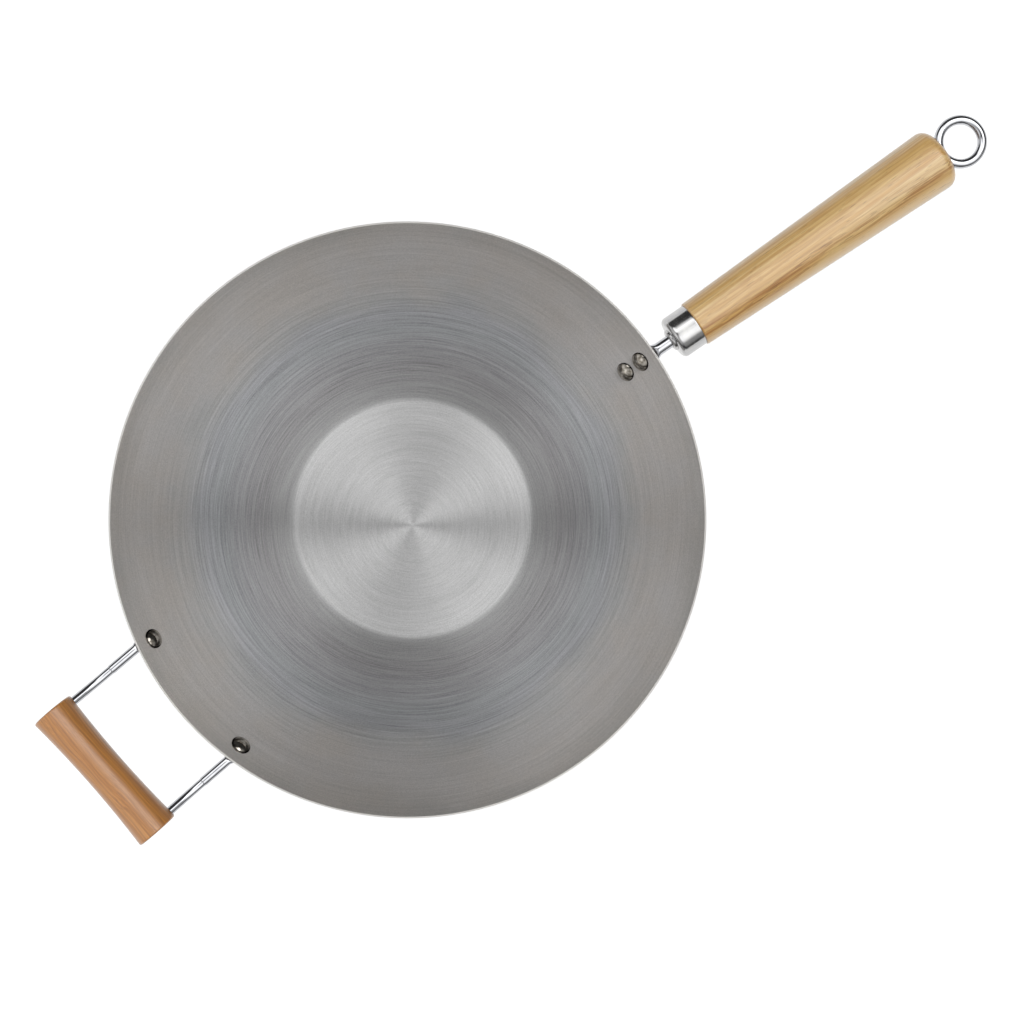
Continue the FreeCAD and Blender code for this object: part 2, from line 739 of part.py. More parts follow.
def check_all(bodies):
    """Stop with a plain message if any object failed or any piece isn't one valid solid."""
    failed = [item.Name for item in doc.Objects if {"Invalid", "Error"} & set(item.State)]
    if failed:
        raise RuntimeError(f"failed objects: {failed}")
    for body in bodies:
        shape = body.Shape
        if shape.isNull() or not shape.isValid() or len(shape.Solids) != 1:
            raise RuntimeError(f"{body.Label} is not one valid solid")
        box = shape.optimalBoundingBox()
        print(f"{body.Label:22s} {shape.Volume / 1000:8.2f} cm3   "
              f"x {box.XMin:7.1f} {box.XMax:7.1f}   y {box.YMin:7.1f} {box.YMax:7.1f}   "
              f"z {box.ZMin:6.1f} {box.ZMax:6.1f}")


def write_all(bodies):
    os.makedirs("parts", exist_ok=True)
    for body in bodies:
        body.Shape.exportStep(f"parts/{body.Label}.step")


pieces = build_all()
check_all(pieces)
write_all(pieces)
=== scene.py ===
# %% [markdown]
# # A flat-bottomed wok with two wooden handles
# The real wok is one pressed sheet of steel with a brushed finish, a long turned handle
# riveted to one side and a short helper handle riveted to the other.  The construction
# model already fixes every piece's size and place.  This lesson loads it, then gives each
# piece the surface that the eye sees: smooth turned and swept forms with the small rounded
# edges that catch light, and finishes mixed from procedural noise.

import math

import bpy
import numpy as np
from mathutils import Euler, Matrix, Vector


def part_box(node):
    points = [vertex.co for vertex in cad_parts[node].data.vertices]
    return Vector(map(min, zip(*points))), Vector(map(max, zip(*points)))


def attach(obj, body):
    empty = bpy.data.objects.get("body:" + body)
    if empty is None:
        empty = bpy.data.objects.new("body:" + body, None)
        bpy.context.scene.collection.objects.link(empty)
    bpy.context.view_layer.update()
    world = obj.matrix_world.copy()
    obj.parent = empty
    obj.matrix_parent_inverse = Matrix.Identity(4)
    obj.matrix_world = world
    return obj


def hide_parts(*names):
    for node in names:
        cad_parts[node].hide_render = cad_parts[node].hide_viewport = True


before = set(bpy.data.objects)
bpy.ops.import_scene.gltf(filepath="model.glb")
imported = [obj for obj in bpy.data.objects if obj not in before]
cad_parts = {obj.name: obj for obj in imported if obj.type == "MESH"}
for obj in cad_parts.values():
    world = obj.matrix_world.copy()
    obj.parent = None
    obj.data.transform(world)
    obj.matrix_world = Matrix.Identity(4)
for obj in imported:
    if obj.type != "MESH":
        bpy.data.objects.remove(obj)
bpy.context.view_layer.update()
print("construction model:", len(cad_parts), "pieces")

# %% [markdown]
# ## Sizes that several pieces share
# The wall of the bowl is one arc turned round the wok's axis.  Everything riveted to it is
# placed by that arc, so its sizes come first.  Heights and radii are in metres, as
# everything in Blender is here; writing them as millimetres times MM keeps them readable.

# %% Shared sizes
MM = 0.001

RIM_RADIUS = 178.0 * MM
SHEET = 1.5 * MM
WALL_ARC = 266.5 * MM  # outside radius of the wall's arc
ARC_OFFSET = 43.5 * MM  # how far the arc's centre lies past the wok's axis
ARC_HEIGHT = 237.0 * MM
BASE_CORNER = 13.5 * MM  # bend from base to wall, outside


def wall_angle(radius, arc):
    """Angle from straight down, at the arc's centre, to the wall's point at a radius:
    its sine is the distance from the arc's centre line over the arc's radius."""
    return np.arcsin((radius + ARC_OFFSET) / arc)


def wall_height(radius, arc):
    """Height of the wall's arc at a radius: the centre's height less the arc's drop."""
    return ARC_HEIGHT - arc * np.cos(wall_angle(radius, arc))


RIM_HEIGHT = wall_height(RIM_RADIUS, WALL_ARC)
HANDLE_HEIGHT = RIM_HEIGHT - 5.0 * MM
HANDLE_RISE = math.radians(1.0)
HELPER_AZIMUTH = math.radians(184.5)
LEG_AZIMUTH = math.radians(14.15)
LEG_SIDES = {"left": -1, "right": 1}
HELPER_SKEW = math.radians(1.8)  # how far the helper handle is turned off its rivets' line
print(f"rim {RIM_RADIUS / MM:.1f} mm from the axis, {RIM_HEIGHT / MM:.1f} mm up")

# %% [markdown]
# ## One way to make every surface
# Each piece here is a grid of points: rows run along the shape and columns run round it.
# A lathe shape, a bent rod and a ring are all such grids, so one function turns a grid into
# a mesh.  It works on whole arrays, which is fast, and it closes the seam and the poles, so
# the mesh is watertight.  It also lays a UV map, u once round and v in metres along,
# because brushed steel needs to know which way its brush lines run.

# %% A mesh from a grid of points
SHARP_ANGLE = math.radians(40)
SAME_PLACE = 1e-9  # points this close are one


def corners_of(table, looped):
    """The four corners of every face, from a table with one entry for each grid point."""
    if looped:
        table = np.concatenate([table, table[:1]])
    corners = [table[:-1, :-1], table[:-1, 1:], table[1:, 1:], table[1:, :-1]]
    return np.stack(corners, axis=2).reshape((-1, 4) + table.shape[2:])


def signed_volume(points, faces):
    """Six times the volume inside: the sum of the triple products of each face's corners."""
    first, second, third, fourth = (points[faces[:, corner]] for corner in range(4))
    return (np.einsum("ij,ij->i", first, np.cross(second, third)).sum()
            + np.einsum("ij,ij->i", first, np.cross(third, fourth)).sum())


def surface(name, grid, looped=False):
    """A closed smooth mesh through a grid of points, shape (rows, columns, 3).

    Neighbouring points of neighbouring rows make a face, and each row closes into a ring.
    A row whose points all coincide is a pole and becomes one vertex.  With looped, the
    last row also joins the first, as on a ring of wire.
    """
    rows, columns, _ = grid.shape
    is_pole = np.ptp(grid, axis=1).max(axis=1) < SAME_PLACE
    per_row = np.where(is_pole, 1, columns)
    first_of_row = np.cumsum(per_row) - per_row
    around = np.arange(columns + 1) % columns
    numbers = first_of_row[:, None] + np.where(is_pole[:, None], 0, around)
    points = grid[np.arange(columns) < per_row[:, None]]
    faces = corners_of(numbers, looped)

    share = np.arange(columns + 1) / columns
    steps = np.linalg.norm(np.roll(grid, -1, axis=0) - grid, axis=2).mean(axis=1)
    metres = np.cumsum(steps) - steps
    uv_table = np.stack(np.broadcast_arrays(share[None, :], metres[:, None]), axis=2)
    uv = corners_of(uv_table, looped)
    if looped:
        uv[-columns:, 2:, 1] = metres[-1] + steps[-1]
    keep = np.ones(faces.shape, bool)
    first_pole = faces[:, 0] == faces[:, 1]
    last_pole = faces[:, 2] == faces[:, 3]
    keep[first_pole, 0] = False
    keep[last_pole, 3] = False
    uv[first_pole, 1, 0] -= 0.5 / columns
    uv[last_pole, 2, 0] -= 0.5 / columns
    if signed_volume(points, faces) < 0:
        faces, uv, keep = faces[:, ::-1], uv[:, ::-1], keep[:, ::-1]

    mesh = bpy.data.meshes.new(name)
    mesh.vertices.add(len(points))
    mesh.vertices.foreach_set("co", points.astype(np.float32).ravel())
    corner_count = keep.sum(axis=1)
    mesh.loops.add(int(corner_count.sum()))
    mesh.loops.foreach_set("vertex_index", faces[keep].astype(np.int32))
    mesh.polygons.add(len(faces))
    loop_start = np.cumsum(corner_count) - corner_count
    mesh.polygons.foreach_set("loop_start", loop_start.astype(np.int32))
    mesh.polygons.foreach_set("use_smooth", np.ones(len(faces), bool))
    mesh.uv_layers.new(name="turned").data.foreach_set("uv", uv[keep].astype(np.float32).ravel())
    mesh.update(calc_edges=True)
    mesh.validate()
    mesh.set_sharp_from_angle(angle=SHARP_ANGLE)
    piece = bpy.data.objects.new(name, mesh)
    bpy.context.scene.collection.objects.link(piece)
    return piece


print("surface() is ready")

# %% [markdown]
# ## Outlines and places
# A turned piece starts as half an outline, drawn as corners with a rounding at each, the
# way a lathe drawing is dimensioned.  Long straight runs get extra points, because smooth
# shading spreads the bend of a rounded edge over the whole of a long face beside it.  A
# place is an origin with three directions, so the same outline can stand on the wok's
# axis, on the wall's slope or along a handle.

# %% Outlines with rounded corners
ARC_STEP = math.radians(10)


def unit(vector):
    """The vector divided by its length."""
    return vector / np.linalg.norm(vector, axis=-1, keepdims=True)


def arc_points(centre, radius, start, end, count):
    """Points on a circle: centre plus radius times (cosine, sine) of evenly spread angles."""
    angles = np.linspace(start, end, count)
    return np.asarray(centre) + radius * np.stack([np.cos(angles), np.sin(angles)], axis=1)


def round_corner(before, corner, after, radius):
    """The arc of that radius that touches both sides of a corner.

    Its centre lies on the corner's bisector, at the radius over the sine of half the angle.
    """
    back, ahead = unit(before - corner), unit(after - corner)
    half = math.acos(np.clip(back @ ahead, -1, 1)) / 2
    centre = corner + unit(back + ahead) * radius / math.sin(half)
    reach = radius / math.tan(half)
    first, last = (corner + side * reach - centre for side in (back, ahead))
    start = math.atan2(first[1], first[0])
    sweep = (math.atan2(last[1], last[0]) - start + math.pi) % (2 * math.pi) - math.pi
    count = max(3, round(abs(sweep) / ARC_STEP) + 1)
    return arc_points(centre, radius, start, start + sweep, count)


def filled_in(points, step):
    """The same line with extra points wherever two neighbours are over a step apart."""
    lengths = np.linalg.norm(np.diff(points, axis=0), axis=1)
    counts = np.maximum(1, np.ceil(lengths / step)).astype(int)
    shares = [np.arange(count) / count for count in counts]
    runs = [start + share[:, None] * (end - start)
            for start, end, share in zip(points[:-1], points[1:], shares)]
    return np.concatenate(runs + [points[-1:]])


def outline(*corners, step=2.0 * MM):
    """A line through corners (along, radius) or (along, radius, rounding)."""
    points = [np.array(corner[:2], float) for corner in corners]
    runs = [points[0][None]]
    for index in range(1, len(corners) - 1):
        if len(corners[index]) > 2:
            runs.append(round_corner(points[index - 1], points[index], points[index + 1],
                                     corners[index][2]))
        else:
            runs.append(points[index][None])
    runs.append(points[-1][None])
    return filled_in(np.concatenate(runs), step)


rounded = outline((0, 0), (10 * MM, 0, MM), (10 * MM, 10 * MM), step=1)
print("a square corner rounded by 1 mm has", len(rounded), "points")

# %% Places and turned pieces


def place(origin, along, side):
    """An origin and three directions at right angles: along, side and the third one."""
    along, side = unit(np.array(along, float)), unit(np.array(side, float))
    return np.array(origin, float), np.stack([along, side, np.cross(along, side)])


def put(where, points):
    """Points given as (along, side, third) moved to their place."""
    origin, directions = where
    return origin + points @ directions


def about_z(angle):
    """Matrix that turns row vectors by an angle round the wok's axis."""
    return np.array([[math.cos(angle), math.sin(angle), 0],
                     [-math.sin(angle), math.cos(angle), 0],
                     [0, 0, 1]])


def turned(name, profile, where, columns, looped=False):
    """A profile turned round its place's first direction.

    Point (along, radius) becomes (along, radius times cosine, radius times sine).  With
    looped, the profile is a closed outline that stays clear of the axis.
    """
    angles = np.arange(columns) * 2 * math.pi / columns
    along, radius = profile[:, 0, None], profile[:, 1, None]
    rings = np.broadcast_arrays(along, radius * np.cos(angles), radius * np.sin(angles))
    return surface(name, put(where, np.stack(rings, axis=2)), looped)


UPRIGHT = place((0, 0, 0), (0, 0, 1), (1, 0, 0))
HANDLE_ALONG = np.array([math.cos(HANDLE_RISE), 0, math.sin(HANDLE_RISE)])
HANDLE = place((RIM_RADIUS, 0, HANDLE_HEIGHT), HANDLE_ALONG, (0, 1, 0))


def wall_place(radius, azimuth):
    """The place on the inside of the wall, its first direction pointing into the bowl."""
    angle = wall_angle(radius, WALL_ARC - SHEET)
    turn = about_z(azimuth)
    point = np.array([radius, 0, wall_height(radius, WALL_ARC - SHEET)])
    return place(point @ turn, np.array([-math.sin(angle), 0, math.cos(angle)]) @ turn,
                 np.array([0, 1.0, 0]) @ turn)


print("the long handle leaves the rim", round(HANDLE_HEIGHT / MM, 1), "mm above the table")

# %% [markdown]
# ## Naming each piece to the frame
# A finished piece rides on the wok, stands for its construction solid and takes one of the
# finishes made here.  The helper below says all three in one place and prints how far the
# new piece's box is from the solid's, so that a slip shows at once.

# %% Hand a piece to the frame


def finish_piece(piece, material):
    """Dress a piece, attach it to the wok and let it stand for the solid of its name."""
    node = piece.name.removesuffix("_surface")
    piece.data.materials.clear()
    piece.data.materials.append(material)
    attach(piece, "root")
    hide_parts(node)
    low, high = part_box(node)
    corners = np.array([vertex.co for vertex in piece.data.vertices])
    slip = max(np.abs(corners.min(0) - low).max(), np.abs(corners.max(0) - high).max())
    faces = len(piece.data.polygons)
    print(f"{node}: {faces} faces, box within {slip / MM:.2f} mm of the solid's")


# %% [markdown]
# ## Mixing finishes
# Every finish is a small tree of shader nodes.  Writing node trees out call by call hides
# the idea, so a short class gives each step a name: noise, a ramp, a mix of two colours.
# Colours are given as a screen shows them, 0 to 255, and turned into the linear values
# that the shader works with.

# %% A short way to write shader nodes


def colour(red, green, blue):
    """Linear colour for screen values: above 0.04 it is ((value + 0.055) / 1.055) to the 2.4."""
    values = np.array([red, green, blue]) / 255
    linear = np.where(values > 0.04045, ((values + 0.055) / 1.055) ** 2.4, values / 12.92)
    return (*linear.tolist(), 1.0)


class Finish:
    """The node tree of a material or a world, with one short call for each step."""

    def __init__(self, holder):
        holder.use_nodes = True
        self.holder = holder
        self.tree = holder.node_tree
        self.tree.nodes.clear()

    def node(self, kind, **settings):
        made = self.tree.nodes.new("ShaderNode" + kind)
        for key, value in settings.items():
            setattr(made, key, value)
        return made

    def feed(self, socket, value):
        """Give a socket a number, a colour or what another socket puts out."""
        if isinstance(value, bpy.types.NodeSocket):
            self.tree.links.new(value, socket)
        else:
            socket.default_value = value

    def fed(self, kind, *values, **settings):
        """A node whose first sockets get the values in order."""
        made = self.node(kind, **settings)
        for socket, value in zip(made.inputs, values):
            self.feed(socket, value)
        return made

    def maths(self, operation, *values):
        return self.fed("Math", *values, operation=operation).outputs[0]

    def product(self, *values):
        """All values multiplied."""
        total = values[0]
        for value in values[1:]:
            total = self.maths("MULTIPLY", total, value)
        return total

    def length(self, x, y):
        """The root of x squared plus y squared."""
        return self.maths("SQRT", self.maths("ADD", self.product(x, x), self.product(y, y)))

    def apart(self, value, other):
        """How far two values lie apart, whichever is larger."""
        return self.maths("ABSOLUTE", self.maths("SUBTRACT", value, other))

    def vector(self, x, y, z):
        return self.fed("CombineXYZ", x, y, z).outputs[0]

    def split(self, vector):
        return self.fed("SeparateXYZ", vector).outputs

    def along(self, vector, direction):
        """How far a vector reaches along a direction: their dot product."""
        return self.fed("VectorMath", vector, direction, operation="DOT_PRODUCT").outputs["Value"]

    def mapped(self, vector, **settings):
        """A vector after the settings Location, Rotation or Scale."""
        made = self.fed("Mapping", vector, vector_type="POINT")
        for key, value in settings.items():
            made.inputs[key].default_value = value
        return made.outputs[0]

    def object_point(self, **settings):
        """The surface's own coordinates, moved, turned or stretched."""
        return self.mapped(self.node("TexCoord").outputs["Object"], **settings)

    def noise(self, vector, scale=1.0, detail=2.0, roughness=0.5, distortion=0.0):
        made = self.node("TexNoise")
        settings = {"Vector": vector, "Scale": scale, "Detail": detail,
                    "Roughness": roughness, "Distortion": distortion}
        for key, value in settings.items():
            self.feed(made.inputs[key], value)
        return made.outputs["Fac"]

    def range(self, value, low, high, to_low=0.0, to_high=1.0, smooth=False):
        """A value stretched from one range to another and clamped to it."""
        kind = "SMOOTHSTEP" if smooth else "LINEAR"
        return self.fed("MapRange", value, low, high, to_low, to_high,
                        interpolation_type=kind).outputs[0]

    def ramp(self, value, *stops):
        """A colour read from stops of (position, colour)."""
        made = self.node("ValToRGB")
        elements = made.color_ramp.elements
        while len(elements) < len(stops):
            elements.new(0.5)
        for element, (position, shade) in zip(elements, stops):
            element.position = position
            element.color = shade
        self.feed(made.inputs[0], value)
        return made.outputs[0]

    def mix(self, share, first, second):
        """A colour between first and second."""
        made = self.node("Mix", data_type="RGBA")
        for index, value in ((0, share), (6, first), (7, second)):
            self.feed(made.inputs[index], value)
        return made.outputs[2]

    def bump(self, height, depth, before=None):
        """Relief as deep as depth, in metres, laid over an earlier one."""
        made = self.node("Bump")
        made.inputs["Strength"].default_value = 1.0
        made.inputs["Distance"].default_value = depth
        self.feed(made.inputs["Height"], height)
        if before is not None:
            self.feed(made.inputs["Normal"], before)
        return made.outputs[0]

    def shade(self, **inputs):
        """Close the tree with a Principled shader; names use _ for a space."""
        shader = self.node("BsdfPrincipled")
        for key, value in inputs.items():
            self.feed(shader.inputs[key.replace("_", " ")], value)
        self.feed(self.node("OutputMaterial").inputs["Surface"], shader.outputs[0])
        return self.holder


print("mid grey on a screen is", round(colour(128, 128, 128)[0], 3), "linear")

# %% [markdown]
# ## Brushed steel
# The bowl was turned against an abrasive belt, so its scratches run in circles.  Such a
# surface smears every reflection across the scratches, which is what draws the bright fans
# over the flat base.  A bump map fine enough to do that would flicker, so the smear is left
# to the shader's anisotropy, and noise that is drawn out into arcs only adds the lines that
# the eye can tell apart.  The noise is read at (cosine, sine, distance from the belt's
# centre), which has no seam where the circle closes.

# %% The bowl's tones and brush lines
# Colour of the steel by distance from the axis, in millimetres: the flat base is worn
# brightest, the lower wall is darker and cool, and the wall grows warm towards the rim.
# The first tones followed the fit that the light's markdown tells of.  They were then moved
# until each ring came out as bright as on the real wok.
BOWL_TONES = (
    (0, (185, 185, 185)), (58, (186, 186, 186)), (68, (192, 192, 192)), (75.8, (191, 191, 191)),
    (78.2, (162, 162, 162)), (97, (156, 155, 156)), (112, (164, 164, 166)), (121, (169, 171, 173)),
    (130, (174, 175, 178)), (140, (180, 180, 180)), (150, (187, 185, 184)), (165, (192, 189, 187)),
    (173, (187, 184, 181)), (176.6, (180, 177, 174)))
WARM_PATCH = (189, 183, 177)
CUT_METAL = (232, 230, 226)

# The belt ran round a point a little off the bowl's axis on the base, and had come back to
# the axis at this height.
BRUSH_CENTRE = (-2.55 * MM, -3.71 * MM)
BRUSH_LEAN_HEIGHT = 35 * MM

# Lines: patches to a radian, lines to a metre outwards, a shift that keeps the kinds apart,
# then the noise's detail and roughness.
HAIR = (3.4, 2100, 3.0, 1.0, 0.5)
FINE = (0.8, 1150, 7.0, 1.0, 0.5)
BROAD = (1.0, 240, 11.0, 3.0, 0.6)
SHORT = (7.0, 1500, 23.0, 1.0, 0.5)
GRAIN_SCALE = 1500.0
LINE_RELIEF = 0.003 * MM

# Where the finish changes, as distances from the axis between which a change runs.
BASE_END = (75 * MM, 85 * MM)
LOWER_FROM = (78 * MM, 98 * MM)
LOWER_TO = (152 * MM, 134 * MM)
UPPER_FROM = (130 * MM, 150 * MM)
WANDER_FROM = (110 * MM, 135 * MM)
WANDER = 7 * MM  # how far a border strays either way, above the first of these
CUT_EDGE = (176.65 * MM, 176.9 * MM)
CUT_HEIGHT = (88.4 * MM, 88.7 * MM)
MIDDLE = (0.3, 0.7)  # the part of a noise's output that carries most of its pattern
print("tones:", len(BOWL_TONES))

# %% The bowl's finish


def make_bowl_steel():
    """Grey steel brushed in circles.

    Colour is the ring's tone times (1 + marks).  Marks are the lines, with short scratches
    on the lower wall, times a strength that falls from base to rim, plus grain and broad
    rings.  The tangent lies along the circles, so the shader smears light across them.
    """
    finish = Finish(bpy.data.materials.new("turned_steel"))
    x, y, height = finish.split(finish.object_point())
    lean = finish.range(height, 0.0, BRUSH_LEAN_HEIGHT, 1.0, 0.0)
    from_x = finish.maths("MULTIPLY_ADD", lean, -BRUSH_CENTRE[0], x)
    from_y = finish.maths("MULTIPLY_ADD", lean, -BRUSH_CENTRE[1], y)
    brushed = finish.length(from_x, from_y)
    cosine, sine = (finish.maths("DIVIDE", value, brushed) for value in (from_x, from_y))

    def arcs(patches, lines_per_metre, shift, detail, roughness):
        """Noise drawn out along the circles."""
        outwards = finish.maths("MULTIPLY_ADD", brushed, lines_per_metre, shift)
        across, up = (finish.product(value, patches) for value in (cosine, sine))
        return finish.noise(finish.vector(across, up, outwards), 1.0, detail, roughness)

    hair, fine, broad, short = (arcs(*kind) for kind in (HAIR, FINE, BROAD, SHORT))
    grain = finish.noise(finish.object_point(), GRAIN_SCALE, 1.0)
    cloud = finish.noise(finish.object_point(), 14.0, 4.0, 0.55)
    patch = finish.noise(finish.object_point(Location=(0.3, 0.1, 0)), 26.0, 3.0, 0.6)

    radius = finish.length(x, y)
    wander = finish.range(cloud, *MIDDLE, -WANDER, WANDER)
    bordered = finish.maths("MULTIPLY_ADD", wander, finish.range(radius, *WANDER_FROM), radius)
    lower = finish.product(finish.range(radius, *LOWER_FROM), finish.range(bordered, *LOWER_TO))
    upper = finish.range(bordered, *UPPER_FROM, smooth=True)
    stops = ((ring * MM / RIM_RADIUS, colour(*shade)) for ring, shade in BOWL_TONES)
    tone = finish.ramp(finish.range(bordered, 0.0, RIM_RADIUS), *stops)
    warm = finish.product(upper, finish.range(patch, 0.4, 0.65, 0.0, 0.6))
    tone = finish.mix(warm, tone, colour(*WARM_PATCH))

    lines = finish.maths("ADD", finish.range(hair, *MIDDLE, -0.22, 0.22),
                         finish.range(fine, *MIDDLE, -0.11, 0.11))
    scratch = finish.maths("SUBTRACT", finish.range(short, 0.64, 0.76, 0.0, 0.18),
                           finish.range(short, 0.36, 0.26, 0.0, 0.18))
    strength = finish.maths("MULTIPLY_ADD", lower, 0.34, finish.range(upper, 0, 1, 0.38, 0.26))
    marks = finish.product(finish.maths("MULTIPLY_ADD", scratch, lower, lines), strength)
    marks = finish.maths("ADD", marks, finish.range(grain, 0.25, 0.75, -0.14, 0.14))
    rings = finish.product(finish.range(broad, *MIDDLE, -1.0, 1.0),
                           finish.range(radius, *BASE_END, 0.05, 0.022))
    marks = finish.maths("ADD", marks, rings)

    shaded = finish.node("VectorMath", operation="SCALE")
    finish.feed(shaded.inputs[0], tone)
    finish.feed(shaded.inputs["Scale"], finish.maths("ADD", marks, 1.0))
    rough = finish.maths("ADD", finish.range(upper, 0, 1, 0.40, 0.46), finish.product(marks, 0.12))
    relief = finish.bump(hair, LINE_RELIEF, finish.bump(fine, LINE_RELIEF))
    cut_edge = finish.product(finish.range(radius, *CUT_EDGE), finish.range(height, *CUT_HEIGHT))
    tangent = finish.vector(finish.product(from_y, -1.0), from_x, 0.0)
    return finish.shade(Base_Color=finish.mix(cut_edge, shaded.outputs[0], colour(*CUT_METAL)),
                        Metallic=finish.range(cut_edge, 0, 1, 1.0, 0.25), Roughness=rough,
                        Anisotropic=1.0, Anisotropic_Rotation=0.25, Tangent=tangent, Normal=relief)


BOWL_STEEL = make_bowl_steel()
print("made", BOWL_STEEL.name)

# %% [markdown]
# ## Bright metal
# The handle's metal is chrome plated over drawn steel: nearly a mirror, with the faint
# waviness and fine haze that plating keeps from the metal under it.  The rivets are tumbled
# instead, so they are a little warmer and duller, with small dents.

# %% Chrome and rivet steel


def make_chrome(name, dull, bright, roughest, wave_depth):
    """Plated metal between two tones, from nearly a mirror to as rough as given."""
    finish = Finish(bpy.data.materials.new(name))
    haze = finish.noise(finish.object_point(), 160.0, 3.0, 0.6)
    wave = finish.noise(finish.object_point(), 90.0, 1.0)
    tone = finish.mix(finish.range(haze, *MIDDLE), colour(*dull), colour(*bright))
    rough = finish.range(haze, *MIDDLE, roughest * 0.6, roughest)
    return finish.shade(Base_Color=tone, Metallic=1.0, Roughness=rough,
                        Normal=finish.bump(wave, wave_depth))


HEAD_FOOT = 14.4 * MM  # from the tail's top along a rivet's outline to the edge of its head
FOOT_SHADE_REACH = (0.25 * MM, 0.8 * MM)  # how far the painted shade at the head's edge reaches, in full and at all
TUMBLED, DULLED, FOOT_SHADE_TONE = (196, 190, 181), (132, 125, 114), (44, 42, 40)
DENT_RELIEF = 0.05 * MM


def make_rivet_steel():
    """Tumbled metal with shallow dents, and painted shade where the head meets the sheet."""
    finish = Finish(bpy.data.materials.new("tumbled_steel"))
    dents = finish.noise(finish.object_point(), 210.0, 1.0, 0.5, 0.3)
    grime = finish.noise(finish.object_point(), 420.0, 2.0, 0.5)
    _, v, _ = finish.split(finish.node("UVMap", uv_map="turned").outputs[0])
    # painted shade: a dark line on the head's edge where it meets the sheet, in place of its
    # contact shadow
    foot = finish.range(finish.apart(v, HEAD_FOOT), *FOOT_SHADE_REACH, 1.0, 0.0, smooth=True)
    tone = finish.mix(finish.range(grime, 0.40, 0.68), colour(*TUMBLED), colour(*DULLED))
    tone = finish.mix(foot, tone, colour(*FOOT_SHADE_TONE))
    return finish.shade(Base_Color=tone, Metallic=1.0,
                        Roughness=finish.range(grime, *MIDDLE, 0.04, 0.13),
                        Normal=finish.bump(dents, DENT_RELIEF))


CHROME = make_chrome("chrome_plate", (186, 187, 191), (204, 205, 208), 0.11, 0.015 * MM)
SATIN_CHROME = make_chrome("satin_chrome", (184, 184, 185), (198, 197, 195), 0.21, 0.01 * MM)
RIVET_STEEL = make_rivet_steel()
print("made", CHROME.name, SATIN_CHROME.name, "and", RIVET_STEEL.name)

# %% [markdown]
# ## Two woods
# Wood seen along the grain is a set of growth rings cut lengthwise: bands that run with
# the handle, wander slowly and are crossed by short dark pores.  The rings are worked out
# as distances from a pith line beside the piece, bent by slow noise; the pores are noise
# drawn out along the grain and cut off at a threshold.  A darker stripe can mark the
# heartwood, and one side can be painted paler: painted light, in place of light falling on
# that side.  Both grips share the recipe and differ in colours, scale and how much the grain
# swirls.

# %% The wood recipe
# Noise drawn out along the grain: patches to a metre along it and across it.
SLOW_WAVE = (9, 34, 34)
FIBRES = (45, 1700, 1700)
STREAKS = (14, 760, 760)
PORES = (110, 1500, 1500)
BAND_DRIFT = 4.0  # how fast a ring's tone changes along the grain


def grain_direction(angles):
    """The direction that a mapping's turn by these angles carries to the first axis."""
    turn = Euler(angles, "XYZ").to_matrix()
    return tuple(turn.inverted() @ Vector((1, 0, 0)))


